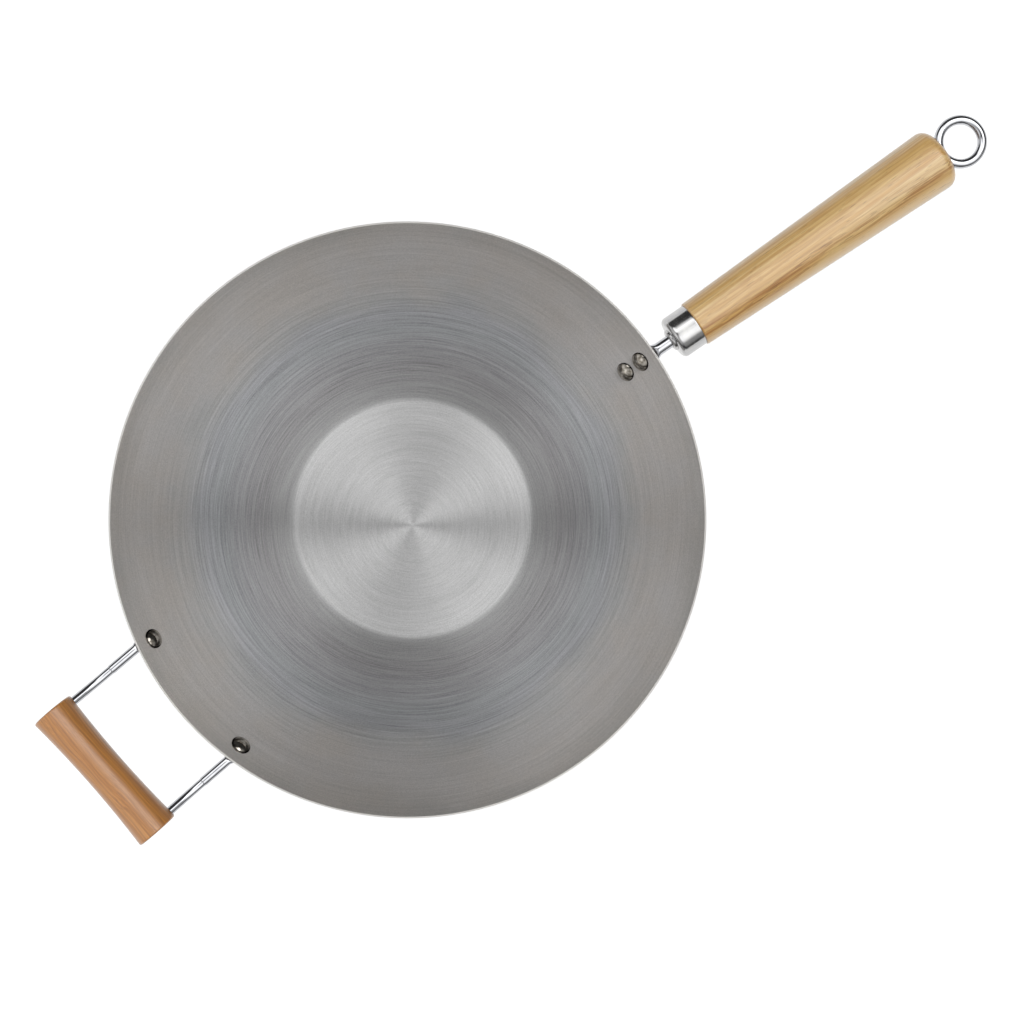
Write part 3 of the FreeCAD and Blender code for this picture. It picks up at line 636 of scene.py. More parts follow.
def make_wood(name, place_angles, pith, tones, rings_per_metre, swirl, heart_stripe, pore_share,
              pore_depth, gloss, painted_light_side=None):
    """Lacquered wood with its grain along the place's first axis.

    Ring number is the distance from the pith times rings per metre, plus slow noise, and
    the finer lines bend with it.  The heart stripe is given by its place across the piece,
    half its width and how strong it is.  The painted light side is given by the places across
    the piece where it starts and is full, how much it covers there, and its tone: a paler tone
    painted on one side in place of light falling there.  Pores darken by the pore share and
    sink by the pore depth.  Gloss is the wood's specular level, then the lacquer's IOR and
    roughness.  End grain drinks the lacquer and turns darker.
    """
    finish = Finish(bpy.data.materials.new(name))
    straight = finish.object_point(Rotation=place_angles)
    slow = finish.noise(finish.mapped(straight, Scale=SLOW_WAVE), 1.0, 2.0, 0.5)
    x, y, z = finish.split(straight)
    bend = finish.range(slow, 0.25, 0.75, -swirl, swirl)
    bent_y, bent_z = (finish.maths("ADD", value, bend) for value in (y, z))
    bent = finish.vector(x, bent_y, bent_z)
    from_pith = finish.length(finish.maths("SUBTRACT", bent_y, pith[0]),
                              finish.maths("SUBTRACT", z, pith[1]))
    ring = finish.product(from_pith, rings_per_metre)
    saw = finish.maths("FRACT", ring)
    band = finish.noise(finish.vector(0.0, ring, finish.product(x, BAND_DRIFT)), 0.8, 3.0, 0.65)
    late = finish.product(finish.range(saw, 0.3, 0.9, smooth=True),
                          finish.range(saw, 0.9, 1.0, 1.0, 0.0, smooth=True))
    fibre = finish.noise(finish.mapped(bent, Scale=FIBRES), 1.0, 2.0, 0.6)
    streak = finish.noise(finish.mapped(bent, Scale=STREAKS), 1.0, 3.0, 0.65)
    pores = finish.noise(finish.mapped(bent, Scale=PORES), 1.0, 1.0, 0.5)
    middle, half_width, depth = heart_stripe
    heart = finish.range(finish.apart(bent_y, middle), half_width, 0.3 * half_width, 0.0, depth,
                         smooth=True)

    pale, body, dark, brown, deep = (colour(*tone) for tone in tones)
    tone = finish.mix(finish.range(band, 0.35, 0.65), pale, body)
    tone = finish.mix(finish.product(late, 0.30), tone, dark)
    tone = finish.mix(finish.range(streak, 0.48, 0.70, 0.0, 0.50), tone, dark)
    tone = finish.mix(finish.product(heart, finish.range(streak, 0.46, 0.60)), tone, brown)
    tone = finish.mix(finish.range(fibre, 0.35, 0.75, 0.0, 0.38), tone, dark)
    # painted light: one side is painted paler, in place of light falling on it
    if painted_light_side:
        from_y, to_y, cover, painted_light_tone = painted_light_side
        tone = finish.mix(finish.range(y, from_y, to_y, 0.0, cover), tone, colour(*painted_light_tone))
    open_pores = finish.range(pores, finish.range(heart, 0, 1, 0.675, 0.58),
                              finish.range(heart, 0, 1, 0.74, 0.67), 0.0, pore_share)
    tone = finish.mix(open_pores, tone, deep)
    normal = finish.node("NewGeometry").outputs["Normal"]
    facing = finish.maths("ABSOLUTE", finish.along(normal, grain_direction(place_angles)))
    end_grain = finish.range(facing, 0.55, 0.95, 0.0, 0.6)
    tone = finish.mix(end_grain, tone, brown)
    relief = finish.maths("SUBTRACT", finish.product(fibre, 0.3), open_pores)
    return finish.shade(Base_Color=tone, Roughness=finish.range(fibre, *MIDDLE, 0.36, 0.46),
                        Normal=finish.bump(relief, pore_depth), Specular_IOR_Level=gloss[0],
                        Coat_Weight=1.0, Coat_IOR=gloss[1], Coat_Roughness=gloss[2])


print("the long handle's grain runs along", grain_direction((0, HANDLE_RISE, 0)))

# %% Both woods
PALE_WOOD = make_wood(
    "pale_lacquered_wood", (0, HANDLE_RISE, 0), pith=(30 * MM, 60 * MM),
    tones=((242, 212, 150), (226, 180, 100), (184, 122, 44), (166, 104, 30), (132, 82, 24)),
    rings_per_metre=420, swirl=1.2 * MM, heart_stripe=(-8.0 * MM, 5.5 * MM, 0.75), pore_share=0.55,
    pore_depth=0.02 * MM, gloss=(0.85, 1.6, 0.32),
    # painted light: the paler tone painted on one side of the grip
    painted_light_side=(-11 * MM, -15.5 * MM, 0.85, (255, 214, 148)))
RED_WOOD = make_wood(
    "red_lacquered_wood", (0, 0, math.radians(90) - HELPER_AZIMUTH - HELPER_SKEW),
    pith=(-14 * MM, 30 * MM),
    tones=((216, 150, 72), (198, 130, 56), (140, 80, 28), (122, 68, 24), (112, 62, 24)),
    rings_per_metre=520, swirl=5.0 * MM, heart_stripe=(9 * MM, 4 * MM, 0.3), pore_share=0.15,
    pore_depth=0.01 * MM, gloss=(0.65, 1.68, 0.40))
print("made", PALE_WOOD.name, "and", RED_WOOD.name)

# %% [markdown]
# ## The bowl
# One sheet, 1.5 mm thick: flat base, a bend, and a wall that is a single arc up to a plain
# sheared rim.  Its outline is drawn once round the metal, outside and back inside, so that
# both faces and the rim's edge come from one turned surface.  The rivet holes are cut by
# a Boolean afterwards, because a turned grid can't have holes.

# %% Outline of the sheet
RIM_ROUNDING = 0.3 * MM
BEND_POINTS = 10
DRILL_REACH = 10 * MM


def sheet_side(arc, corner, count):
    """One face of the sheet from the base's middle to the rim: a line and two arcs.

    The bend's arc and the wall's arc share the line from the wall's centre through the
    bend's centre, so they meet without a kink.
    """
    bend_reach = WALL_ARC - BASE_CORNER
    bend_drop = ARC_HEIGHT - BASE_CORNER
    meet = math.acos(bend_drop / bend_reach)
    flat = bend_reach * math.sin(meet) - ARC_OFFSET
    rim_angle = wall_angle(RIM_RADIUS, WALL_ARC)
    base = np.stack([np.linspace(0, flat, count // 4, endpoint=False),
                     np.full(count // 4, BASE_CORNER - corner)], axis=1)
    down = -math.pi / 2
    bend = arc_points((flat, BASE_CORNER), corner, down, down + meet, BEND_POINTS)
    wall = arc_points((-ARC_OFFSET, ARC_HEIGHT), arc, down + meet, down + rim_angle, count)
    return np.concatenate([base, bend[:-1], wall])


def bowl_outline(count=64):
    """The sheet's whole outline as (height, radius): up the outside, over the rim, down."""
    outside = sheet_side(WALL_ARC, BASE_CORNER, count)
    inside = sheet_side(WALL_ARC - SHEET, BASE_CORNER - SHEET, count)[::-1]
    rim = [round_corner(outside[-2], outside[-1], inside[0], RIM_ROUNDING),
           round_corner(outside[-1], inside[0], inside[1], RIM_ROUNDING)]
    line = np.concatenate([outside[:-1], *rim, inside[1:]])
    return line[:, ::-1]


print("the sheet's outline has", len(bowl_outline()), "points")

# %% Turn the bowl and cut the rivet holes
RIVET_HOLE = 2.55 * MM
UPPER_RIVET = 169.0 * MM  # radius from the wok's axis
LOWER_RIVET = 159.7 * MM
TANG_SHEET = 3.0 * MM
TAB_SHEET = 2.5 * MM

RIVETS = {
    "handle_rivet_upper": (wall_place(UPPER_RIVET, 0.0), TANG_SHEET),
    "handle_rivet_lower": (wall_place(LOWER_RIVET, 0.0), TANG_SHEET),
}
for side_name, side in LEG_SIDES.items():
    RIVETS[f"helper_rivet_{side_name}"] = (
        wall_place(UPPER_RIVET, HELPER_AZIMUTH + side * LEG_AZIMUTH), TAB_SHEET)


def combine(piece, other, operation):
    """A Boolean with another piece, applied to the mesh.  It uses the other piece up."""
    boolean = piece.modifiers.new(other.name, "BOOLEAN")
    boolean.operation = operation
    boolean.solver = "EXACT"
    boolean.object = other
    bpy.context.view_layer.update()
    shown = piece.evaluated_get(bpy.context.evaluated_depsgraph_get())
    combined = bpy.data.meshes.new_from_object(shown)
    piece.modifiers.clear()
    piece.data = combined
    bpy.data.objects.remove(other)
    piece.data.set_sharp_from_angle(angle=SHARP_ANGLE)


def cut_holes(piece, rivets):
    """Drill a piece at each rivet with a plain bar."""
    bar = outline((-DRILL_REACH, 0), (-DRILL_REACH, RIVET_HOLE), (DRILL_REACH, RIVET_HOLE),
                  (DRILL_REACH, 0), step=1)
    for name in rivets:
        combine(piece, turned("drill", bar, RIVETS[name][0], columns=48), "DIFFERENCE")


bowl = turned("wok_body_surface", bowl_outline(), UPRIGHT, columns=288)
cut_holes(bowl, RIVETS)
finish_piece(bowl, BOWL_STEEL)

# %% [markdown]
# ## The rivets
# Four domed rivets go through the wall and a bracket.  Their heads sit inside the bowl,
# and the tails are set down outside over the bracket.  They are turned shapes, but a
# hammered head is never quite round, so the crown gets a few shallow dents: a sum of
# waves no deeper than a tenth of a millimetre, with its own phases for each rivet.

# %% Turn and dent the rivets
HEAD_RADIUS = 6.0 * MM
HEAD_HEIGHT = 2.5 * MM
HEAD_EDGE = 0.4 * MM
HEAD_SEAT = 0.1 * MM
SHANK_RADIUS = 2.5 * MM
TAIL_RADIUS = 4.0 * MM
TAIL_HEIGHT = 1.5 * MM
CROWN_EDGE = 0.15 * MM
DENT_DEPTH = 0.05 * MM
DENT_WAVES = (2.0 * MM, 2.4 * MM, 1.5 * MM)
DENT_PHASE = 1.7  # from one rivet to the next


def dome(base, height, radius, count):
    """A crown from its edge to its top: the arc through both, as (along, radius)."""
    ball = (radius ** 2 + height ** 2) / (2 * height)
    angles = np.linspace(math.asin(radius / ball), 0, count)
    return np.stack([base + height - ball * (1 - np.cos(angles)), ball * np.sin(angles)], axis=1)


def rivet_outline(bracket_sheet):
    """Tail, shank, head's edge and crown, from the tail's top to the head's."""
    under = -(SHEET + bracket_sheet)
    tail = dome(0, TAIL_HEIGHT, TAIL_RADIUS, 12)[::-1]
    tail[:, 0] = under - tail[:, 0]
    body = outline((under, TAIL_RADIUS), (under, SHANK_RADIUS), (HEAD_SEAT, SHANK_RADIUS),
                   (HEAD_SEAT, HEAD_RADIUS, CROWN_EDGE), (HEAD_SEAT + HEAD_EDGE, HEAD_RADIUS),
                   step=1 * MM)
    crown = dome(HEAD_SEAT + HEAD_EDGE, HEAD_HEIGHT, HEAD_RADIUS, 24)
    return np.concatenate([tail, body[1:], crown[1:]])


def dent(piece, where, phase):
    """Press the head's crown along the rivet by waves that fade to nothing at its edge.

    The waves are sin(side) cos(third) plus half a sin(side - third), each over its own
    length and shifted by the phase.
    """
    count = len(piece.data.vertices)
    points = np.empty(count * 3, np.float32)
    piece.data.vertices.foreach_get("co", points)
    points = points.reshape(-1, 3)
    origin, directions = where
    along, side, third = ((points - origin) @ directions.T).T
    reach = np.clip(1 - (side ** 2 + third ** 2) / HEAD_RADIUS ** 2, 0, 1)
    on_head = (along > HEAD_SEAT + HEAD_EDGE) * reach
    one, two, three = DENT_WAVES
    waves = (np.sin(side / one + phase) * np.cos(third / two - 2 * phase)
             + 0.5 * np.sin((side - third) / three + 3 * phase))
    points = points - (DENT_DEPTH * (1 + waves) * on_head)[:, None] * directions[0]
    piece.data.vertices.foreach_set("co", points.astype(np.float32).ravel())
    piece.data.update()


for number, (name, (where, bracket_sheet)) in enumerate(RIVETS.items()):
    rivet = turned(name + "_surface", rivet_outline(bracket_sheet), where, columns=64)
    dent(rivet, where, DENT_PHASE * number)
    finish_piece(rivet, RIVET_STEEL)

# %% [markdown]
# ## Forged brackets
# Each bracket starts as a rod.  One end is hammered flat, dished to the bowl and riveted to
# it; the rod then bends out under the rim and carries a handle.  The form is a section
# carried along a path: an oblong with rounded corners that hugs the wall, and a circle
# once it is past the bend.  A loft between those two is what this does, with the whole
# section worked out as arrays, so the change can be timed along the bend.

# %% Sections from oblong to circle


def oblongs(half_width, half_height, corner, per_corner=6, per_side=5):
    """Rounded oblongs, one for each row: shape (rows, columns, 2).

    Each corner is a quarter circle about a centre set in from the corner by its radius;
    the sides are straight between them.  Equal halves and radius make a circle.
    """
    quarter = np.linspace(0, math.pi / 2, per_corner + 1)
    turns = np.arange(4)[:, None] * math.pi / 2
    spokes = np.stack([np.cos(turns + quarter), np.sin(turns + quarter)], axis=2)
    signs = np.array([(1, 1), (-1, 1), (-1, -1), (1, -1)])
    inset = np.stack([half_width - corner, half_height - corner], axis=1)
    arcs = (signs * inset[:, None])[:, :, None] + corner[:, None, None, None] * spokes
    share = (np.arange(1, per_side + 1) / (per_side + 1))[:, None]
    ends, starts = arcs[:, :, -1:], np.roll(arcs[:, :, :1], -1, axis=1)
    sides = ends + share * (starts - ends)
    return np.concatenate([arcs, sides], axis=2).reshape(len(half_width), -1, 2)


def eased(distance, radius):
    """How far a rounded end is still drawn in at a distance from its tip."""
    short = np.clip(radius - distance, 0, radius)
    return radius - np.sqrt(radius ** 2 - short ** 2)


print("a section has", oblongs(*np.ones((3, 1))).shape[1], "points")

# %% The path: up the wall, round the bend, out to the handle


def turn_about(axis, angles):
    """Rotation matrices for row vectors, one for each angle, by Rodrigues' formula:
    the identity, plus sine times the axis' cross matrix, plus (1 - cosine) times its square."""
    x, y, z = unit(axis)
    cross = np.array([[0, z, -y], [-z, 0, x], [y, -x, 0]])
    angles = np.asarray(angles)[:, None, None]
    return np.eye(3) + np.sin(angles) * cross + (1 - np.cos(angles)) * (cross @ cross)


def bracket_lines(sheet, rise, sideways, bend_radius):
    """Where the tang's middle line meets the handle's line, and the bend between them."""
    middle = WALL_ARC + sheet / 2
    angle = math.acos((ARC_HEIGHT - HANDLE_HEIGHT) / middle)
    meeting = np.array([middle * math.sin(angle) - ARC_OFFSET, 0, HANDLE_HEIGHT])
    outward = np.array([math.sin(angle), 0, -math.cos(angle)])
    uphill = np.array([math.cos(angle), 0, math.sin(angle)])
    level = math.cos(rise)
    way = np.array([math.cos(sideways) * level, math.sin(sideways) * level, math.sin(rise)])
    turn = math.acos(uphill @ way)
    reach = bend_radius * math.tan(turn / 2)
    return meeting, outward, uphill, way, turn, reach


SQUARE_EDGE = 0.5 * MM
FOOT_ROUNDING = 0.4  # share of the width
BORE_EDGE = 0.1 * MM
TIP_ROWS, EDGE_ROWS, BEND_ROWS = 14, 5, 20
THICKENS_AT = (0, 0.35, 0.72, 1)  # share of the bend
THICKENS_TO = (0, 0.06, 0.5, 1)  # share of the way from flat to round
SMOOTHED = 0.35  # how much of the thickening follows a smooth step instead
NARROWS_LATE = 0.15
ROUNDED_AT = 0.35  # share of the bend by which the corners are fully round


def bracket_grid(sheet, width, foot, rise, sideways, bend_radius, round_radius, round_end,
                 bore_radius, bore_depth, mouth_rounding):
    """The whole bracket as a grid, in the frame where it points along +X.

    Rows: the foot's pole and its rounded tip, the flattened strip up the wall, the bend,
    the round rod, its rounded mouth, and the bore down to its pole.
    """
    meeting, outward, uphill, way, turn, reach = bracket_lines(sheet, rise, sideways, bend_radius)
    start = meeting - uphill * reach

    # the strip: rows by distance from the foot, bent round the wall both ways
    top = math.atan2(start[0] + ARC_OFFSET, ARC_HEIGHT - start[2])
    low = wall_angle(foot, WALL_ARC)
    tip = FOOT_ROUNDING * width
    length = (top - low) * WALL_ARC
    rounding = tip * (1 - np.cos(np.linspace(0, math.pi / 2, TIP_ROWS)))
    distance = np.concatenate([rounding, np.linspace(tip, length, TIP_ROWS)[1:-1]])
    edge = SQUARE_EDGE * (1 - np.cos(np.linspace(0, math.pi / 2, EDGE_ROWS)))
    distance = np.unique(np.concatenate([edge, distance]))
    half_width = width / 2 - eased(distance, tip)
    half_height = sheet / 2 - eased(distance, SQUARE_EDGE)
    strip = oblongs(half_width, half_height, np.minimum(SQUARE_EDGE, half_height * 0.98))
    angle = (low + distance / WALL_ARC)[:, None]
    outwards = WALL_ARC + sheet / 2 + strip[:, :, 1]
    radius = outwards * np.sin(angle) - ARC_OFFSET
    spread = strip[:, :, 0] / start[0]
    strip_points = np.stack([radius * np.cos(spread), radius * np.sin(spread),
                             ARC_HEIGHT - outwards * np.cos(angle)], axis=2)

    # the bend: the section turns about the hinge while it goes from flat to round
    share = np.linspace(0, 1, BEND_ROWS)[1:]
    narrowing = share + NARROWS_LATE * np.sin(math.pi * share) * (share - 0.5)
    thickening = np.interp(share, THICKENS_AT, THICKENS_TO)
    smooth = thickening ** 2 * (3 - 2 * thickening)
    thickening = smooth * SMOOTHED + thickening * (1 - SMOOTHED)
    half_width = width / 2 + (round_radius - width / 2) * narrowing
    half_height = sheet / 2 + (round_radius - sheet / 2) * thickening
    corner = SQUARE_EDGE + (half_height - SQUARE_EDGE) * np.clip(share / ROUNDED_AT, 0, 1)
    hinge = np.cross(uphill, way)
    centre = start + np.cross(unit(hinge), uphill) * bend_radius
    turns = turn_about(hinge, share * turn)
    middles = centre + (start - centre) @ turns
    across = np.array([0, 1.0, 0]) @ turns
    out = outward @ turns
    bend = oblongs(half_width, half_height, np.minimum(corner, half_height))
    bend_points = (middles[:, None] + bend[:, :, :1] * across[:, None]
                   + bend[:, :, 1:] * out[:, None])

    # the rod, its mouth and the bore: circles along a straight line
    bore_end = round_end - bore_depth
    line = outline((reach, round_radius), (round_end, round_radius, mouth_rounding),
                   (round_end, bore_radius, BORE_EDGE), (bore_end, bore_radius), (bore_end, 0))[1:]
    circle = oblongs(*np.ones((3, 1)))[0]
    spokes = circle[:, :1] * across[-1] + circle[:, 1:] * out[-1]
    rod_points = meeting + line[:, :1, None] * way + line[:, 1:, None] * spokes
    first_row = strip_points[:1]
    foot_pole = np.broadcast_to(first_row.mean(axis=1, keepdims=True), first_row.shape)
    return np.concatenate([foot_pole, strip_points, bend_points, rod_points])


print("the bracket's grid is ready")

# %% The long handle's bracket
HANDLE_FORM = dict(sheet=TANG_SHEET, width=16.0 * MM, foot=151.0 * MM, rise=HANDLE_RISE,
                   sideways=0.0, bend_radius=9.0 * MM, round_radius=4.0 * MM,
                   bore_radius=2.6 * MM, bore_depth=24.0 * MM, mouth_rounding=0.4 * MM)
handle_meeting = bracket_lines(TANG_SHEET, HANDLE_RISE, 0.0, HANDLE_FORM["bend_radius"])[0]
SPIGOT_END = 58.0 * MM  # from the rim
handle_grid = bracket_grid(round_end=RIM_RADIUS + SPIGOT_END - handle_meeting[0], **HANDLE_FORM)
handle_bracket = surface("handle_bracket_surface", handle_grid)
cut_holes(handle_bracket, ("handle_rivet_upper", "handle_rivet_lower"))
finish_piece(handle_bracket, CHROME)

# %% [markdown]
# The helper handle's two brackets are the same form, smaller, with a socket for a rod
# instead of a spigot.  Each is turned to its own rivet, and the rod leaves it at an angle,
# so that both rods run side by side to the grip.

# %% The helper handle's brackets
HELPER_FORM = dict(sheet=TAB_SHEET, width=13.0 * MM, foot=163.8 * MM, rise=math.radians(5.0),
                   bend_radius=8.0 * MM, round_radius=3.0 * MM, round_end=22.8 * MM,
                   bore_radius=2.1 * MM, bore_depth=12.0 * MM, mouth_rounding=0.35 * MM)

for side_name, side in LEG_SIDES.items():
    leg_grid = bracket_grid(sideways=HELPER_SKEW - side * LEG_AZIMUTH, **HELPER_FORM)
    leg_turn = about_z(HELPER_AZIMUTH + side * LEG_AZIMUTH)
    leg_bracket = surface(f"helper_bracket_{side_name}_surface", leg_grid @ leg_turn)
    cut_holes(leg_bracket, (f"helper_rivet_{side_name}",))
    finish_piece(leg_bracket, CHROME)

# %% [markdown]
# ## The helper handle
# Two bent rods and a short waisted grip.  A rod is a circle carried along a line that is
# straight, bends up gently and is straight again; its thinner end sits in the socket.  The
# grip is turned: its waist is one long arc, and its edges are just broken by sandpaper.

# %% Helper rods
ROD_RADIUS = 2.7 * MM
TENON_RADIUS = 2.0 * MM
TENON_LENGTH = 11.9 * MM
ROD_LEAD = 1.8 * MM
ROD_BEND = 50.0 * MM
ROD_RISE = math.radians(25.0)
ROD_TAIL = 20.4 * MM
ROD_DEPTH = 4.0 * MM
ROD_EDGE = 0.3 * MM
ROD_ROWS, ROD_COLUMNS = 400, 40
LOW_RISE = HELPER_FORM["rise"]


def leg_start(side):
    """Where a socket's line starts, in the frame where the helper handle points along +X."""
    turn = side * LEG_AZIMUTH - HELPER_SKEW
    return bracket_lines(TAB_SHEET, LOW_RISE, -turn, HELPER_FORM["bend_radius"])[0] @ about_z(turn)


def rod_line(side):
    """The rod's middle line in its upright plane, with the slope at each point.

    The slope stays at the socket's rise, grows evenly round the bend, and stays at the
    last rise; adding up steps of its cosine and sine gives the line.  The two sockets
    start at different reaches, and the straight lead makes up for it.
    """
    short_by = (leg_start(-side)[0] - leg_start(side)[0]) / 2
    lead = HELPER_FORM["round_end"] + ROD_LEAD + short_by / math.cos(LOW_RISE)
    bend = ROD_BEND * (ROD_RISE - LOW_RISE)
    total = lead + bend + ROD_TAIL + ROD_DEPTH
    distance = np.linspace(HELPER_FORM["round_end"] - TENON_LENGTH, total, ROD_ROWS)
    slope = LOW_RISE + np.clip((distance - lead) / ROD_BEND, 0, ROD_RISE - LOW_RISE)
    steps = np.diff(distance, prepend=distance[0])[:, None]
    heading = np.stack([np.cos(slope), np.zeros(len(slope)), np.sin(slope)], axis=1)
    start = distance[0] * heading[0]
    middle = (heading + np.roll(heading, 1, axis=0)) / 2
    return distance, start + np.cumsum(steps * middle, axis=0), slope


def rod_grid(side):
    """Circles across the rod's line: full size outside, thin inside the socket."""
    distance, line, slope = rod_line(side)
    mouth = HELPER_FORM["round_end"]
    radius = np.where(distance < mouth, TENON_RADIUS, ROD_RADIUS)
    radius = radius - eased(distance - mouth, ROD_EDGE) * (distance >= mouth)
    radius[[0, -1]] = 0.0
    line[0] = line[1]
    line[-1] = line[-2]
    angles = np.arange(ROD_COLUMNS) * 2 * math.pi / ROD_COLUMNS
    over = np.stack([-np.sin(slope), np.zeros(len(slope)), np.cos(slope)], axis=1)
    ring = (np.cos(angles)[:, None] * np.array([0, 1.0, 0])
            + np.sin(angles)[:, None] * over[:, None])
    return line[:, None] + radius[:, None, None] * ring


helper_turn = about_z(HELPER_AZIMUTH + HELPER_SKEW)
for side_name, side in LEG_SIDES.items():
    leg = (leg_start(side) + rod_grid(side)) @ helper_turn
    rod = surface(f"helper_rod_{side_name}_surface", leg)
    finish_piece(rod, CHROME)

# %% Helper grip
HELPER_HALF = 47.0 * MM
HELPER_END_RADIUS = 13.0 * MM
HELPER_WAIST_RADIUS = 11.4 * MM
HELPER_EDGE = 1.2 * MM


def helper_outline():
    """Half the grip's outline as (along, radius), the waist an arc through both ends."""
    hollow = HELPER_END_RADIUS - HELPER_WAIST_RADIUS
    arc = (HELPER_HALF ** 2 + hollow ** 2) / (2 * hollow)
    reach = math.asin((HELPER_HALF - HELPER_EDGE) / arc)
    down = -math.pi / 2
    waist = arc_points((0, HELPER_WAIST_RADIUS + arc), arc, down - reach, down + reach, 60)
    ends = []
    for x, beside in ((-HELPER_HALF, waist[0]), (HELPER_HALF, waist[-1])):
        middle, corner = np.array([x, 0]), np.array([x, HELPER_END_RADIUS])
        edge = round_corner(middle, corner, beside, HELPER_EDGE)
        face = filled_in(np.array([middle, edge[0]]), 2 * MM)
        ends.append(np.concatenate([face[:-1], edge]))
    return np.concatenate([ends[0], waist[1:-1], ends[1][::-1]])


rod_ends = [leg_start(side) + rod_line(side)[1][-1] for side in LEG_SIDES.values()]
into_grip = np.array([math.cos(ROD_RISE), 0, math.sin(ROD_RISE)])
grip_middle = np.mean(rod_ends, axis=0) - ROD_DEPTH * into_grip
helper_place = place(grip_middle @ helper_turn, np.array([0, 1.0, 0]) @ helper_turn, (0, 0, 1))
helper_grip = turned("helper_grip_surface", helper_outline(), helper_place, columns=96)
finish_piece(helper_grip, RED_WOOD)

# %% [markdown]
# ## The long handle
# Three turned pieces on one line, 5 mm below the rim and tilted up by one degree: a
# ferrule drawn from thin sheet, the wooden grip, and a bolt whose head is a ring.  The
# ferrule's front is beaded round the rod.  The grip widens steadily to its round end.

# %% Ferrule
FERRULE_FRONT = 13.2 * MM
FERRULE_BACK = 29.6 * MM
FERRULE_RADIUS = 13.5 * MM
FERRULE_SHEET = 0.8 * MM
FERRULE_CORNER = 3.0 * MM
FERRULE_DOME = 0.6 * MM
BEAD_RADIUS = 7.1 * MM  # from the handle's axis to the bead's outer side
SPIGOT_HOLE = 4.1 * MM


def ferrule_outline():
    """The cap's outline once round its thin sheet, as (along, radius).

    The bead is half a circle that stands forward of the front, from the hole outwards.
    """
    face = FERRULE_FRONT + FERRULE_DOME
    inner = FERRULE_RADIUS - FERRULE_SHEET
    bead_half = (BEAD_RADIUS - SPIGOT_HOLE) / 2
    bead = arc_points((FERRULE_FRONT, SPIGOT_HOLE + bead_half), bead_half,
                      1.5 * math.pi, 0.5 * math.pi, 12)
    shell = outline(bead[-1], (face, FERRULE_RADIUS, FERRULE_CORNER),
                    (FERRULE_BACK, FERRULE_RADIUS, 0.3 * MM), (FERRULE_BACK, inner, 0.2 * MM),
                    (face + FERRULE_SHEET, inner, FERRULE_CORNER - FERRULE_SHEET),
                    (FERRULE_FRONT + FERRULE_SHEET, SPIGOT_HOLE), step=1 * MM)
    return np.concatenate([bead, shell[1:]])


ferrule = turned("ferrule_surface", ferrule_outline(), HANDLE, columns=128, looped=True)
finish_piece(ferrule, SATIN_CHROME)

# %% Long grip
GRIP_FRONT_RADIUS = 14.4 * MM
GRIP_BACK_RADIUS = 19.1 * MM
GRIP_END = 209.4 * MM
GRIP_CORNER = 6.0 * MM
GRIP_LIP = 0.7 * MM
SEAT_RADIUS = 6.4 * MM
SEAT_DEPTH = 1.3 * MM
BOLT_BORE = 3.0 * MM
FERRULE_GAP = 0.02 * MM


def grip_outline():
    """Tenon, chamfered shoulder, even taper, rounded end, seat and the stepped bore."""
    tenon = FERRULE_RADIUS - FERRULE_SHEET - 0.1 * MM
    front = FERRULE_FRONT + FERRULE_DOME + FERRULE_CORNER
    return outline(
        (front, SPIGOT_HOLE), (front, tenon, 0.5 * MM), (FERRULE_BACK + FERRULE_GAP, tenon),
        (FERRULE_BACK + FERRULE_GAP, GRIP_FRONT_RADIUS - GRIP_LIP),
        (FERRULE_BACK + GRIP_LIP, GRIP_FRONT_RADIUS, 0.5 * MM),
        (GRIP_END, GRIP_BACK_RADIUS, GRIP_CORNER), (GRIP_END, SEAT_RADIUS, 0.3 * MM),
        (GRIP_END - SEAT_DEPTH, SEAT_RADIUS), (GRIP_END - SEAT_DEPTH, BOLT_BORE),
        (SPIGOT_END + 0.1 * MM, BOLT_BORE), (SPIGOT_END + 0.1 * MM, SPIGOT_HOLE), step=2 * MM)


handle_grip = turned("handle_grip_surface", grip_outline(), HANDLE, columns=128, looped=True)
finish_piece(handle_grip, PALE_WOOD)

# %% Ring bolt
RING_CENTRE = 224.4 * MM
RING_RADIUS = 13.2 * MM
WIRE_RADIUS = 2.9 * MM
THREAD_RADIUS = 2.5 * MM
SHANK_RADIUS_SHARE = 0.995  # of the wire's, so that the two skins don't coincide


def ring_grid(rows=144, columns=40):
    """A ring lying flat: circle of the wire carried round the circle of the ring."""
    round_ring = np.arange(rows)[:, None] * 2 * math.pi / rows
    round_wire = np.arange(columns)[None] * 2 * math.pi / columns
    radius = RING_RADIUS + WIRE_RADIUS * np.cos(round_wire)
    along, side = RING_CENTRE + radius * np.cos(round_ring), radius * np.sin(round_ring)
    return np.stack(np.broadcast_arrays(along, side, WIRE_RADIUS * np.sin(round_wire)), axis=2)


ring_bolt = surface("ring_bolt_surface", put(HANDLE, ring_grid()), looped=True)
thread_start = SPIGOT_END + 0.2 * MM
thread_end = thread_start - HANDLE_FORM["bore_depth"] + 1 * MM
near_side = RING_CENTRE - RING_RADIUS
shank_radius = WIRE_RADIUS * SHANK_RADIUS_SHARE
shank_outline = outline((thread_end, 0), (thread_end, THREAD_RADIUS, 0.4 * MM),
                        (thread_start, THREAD_RADIUS), (thread_start, shank_radius, 0.2 * MM),
                        (near_side, shank_radius), (near_side, 0), step=4 * MM)
shank = turned("bolt_shank", shank_outline, HANDLE, columns=40)
combine(ring_bolt, shank, "UNION")
finish_piece(ring_bolt, CHROME)

# %% [markdown]
# ## Camera, floor and light
# The camera hangs a metre above the rim, turned so that the long handle points up and to
# the right.  RIGHT and UP are the picture's own directions on the table; the light is placed
# by them too, because the bright fans on the base follow where it comes from.  The metre is
# a guess.  The camera's place beside the axis, its aim and its lens come from a fit made
# outside this script, to where the real wok's points are seen.

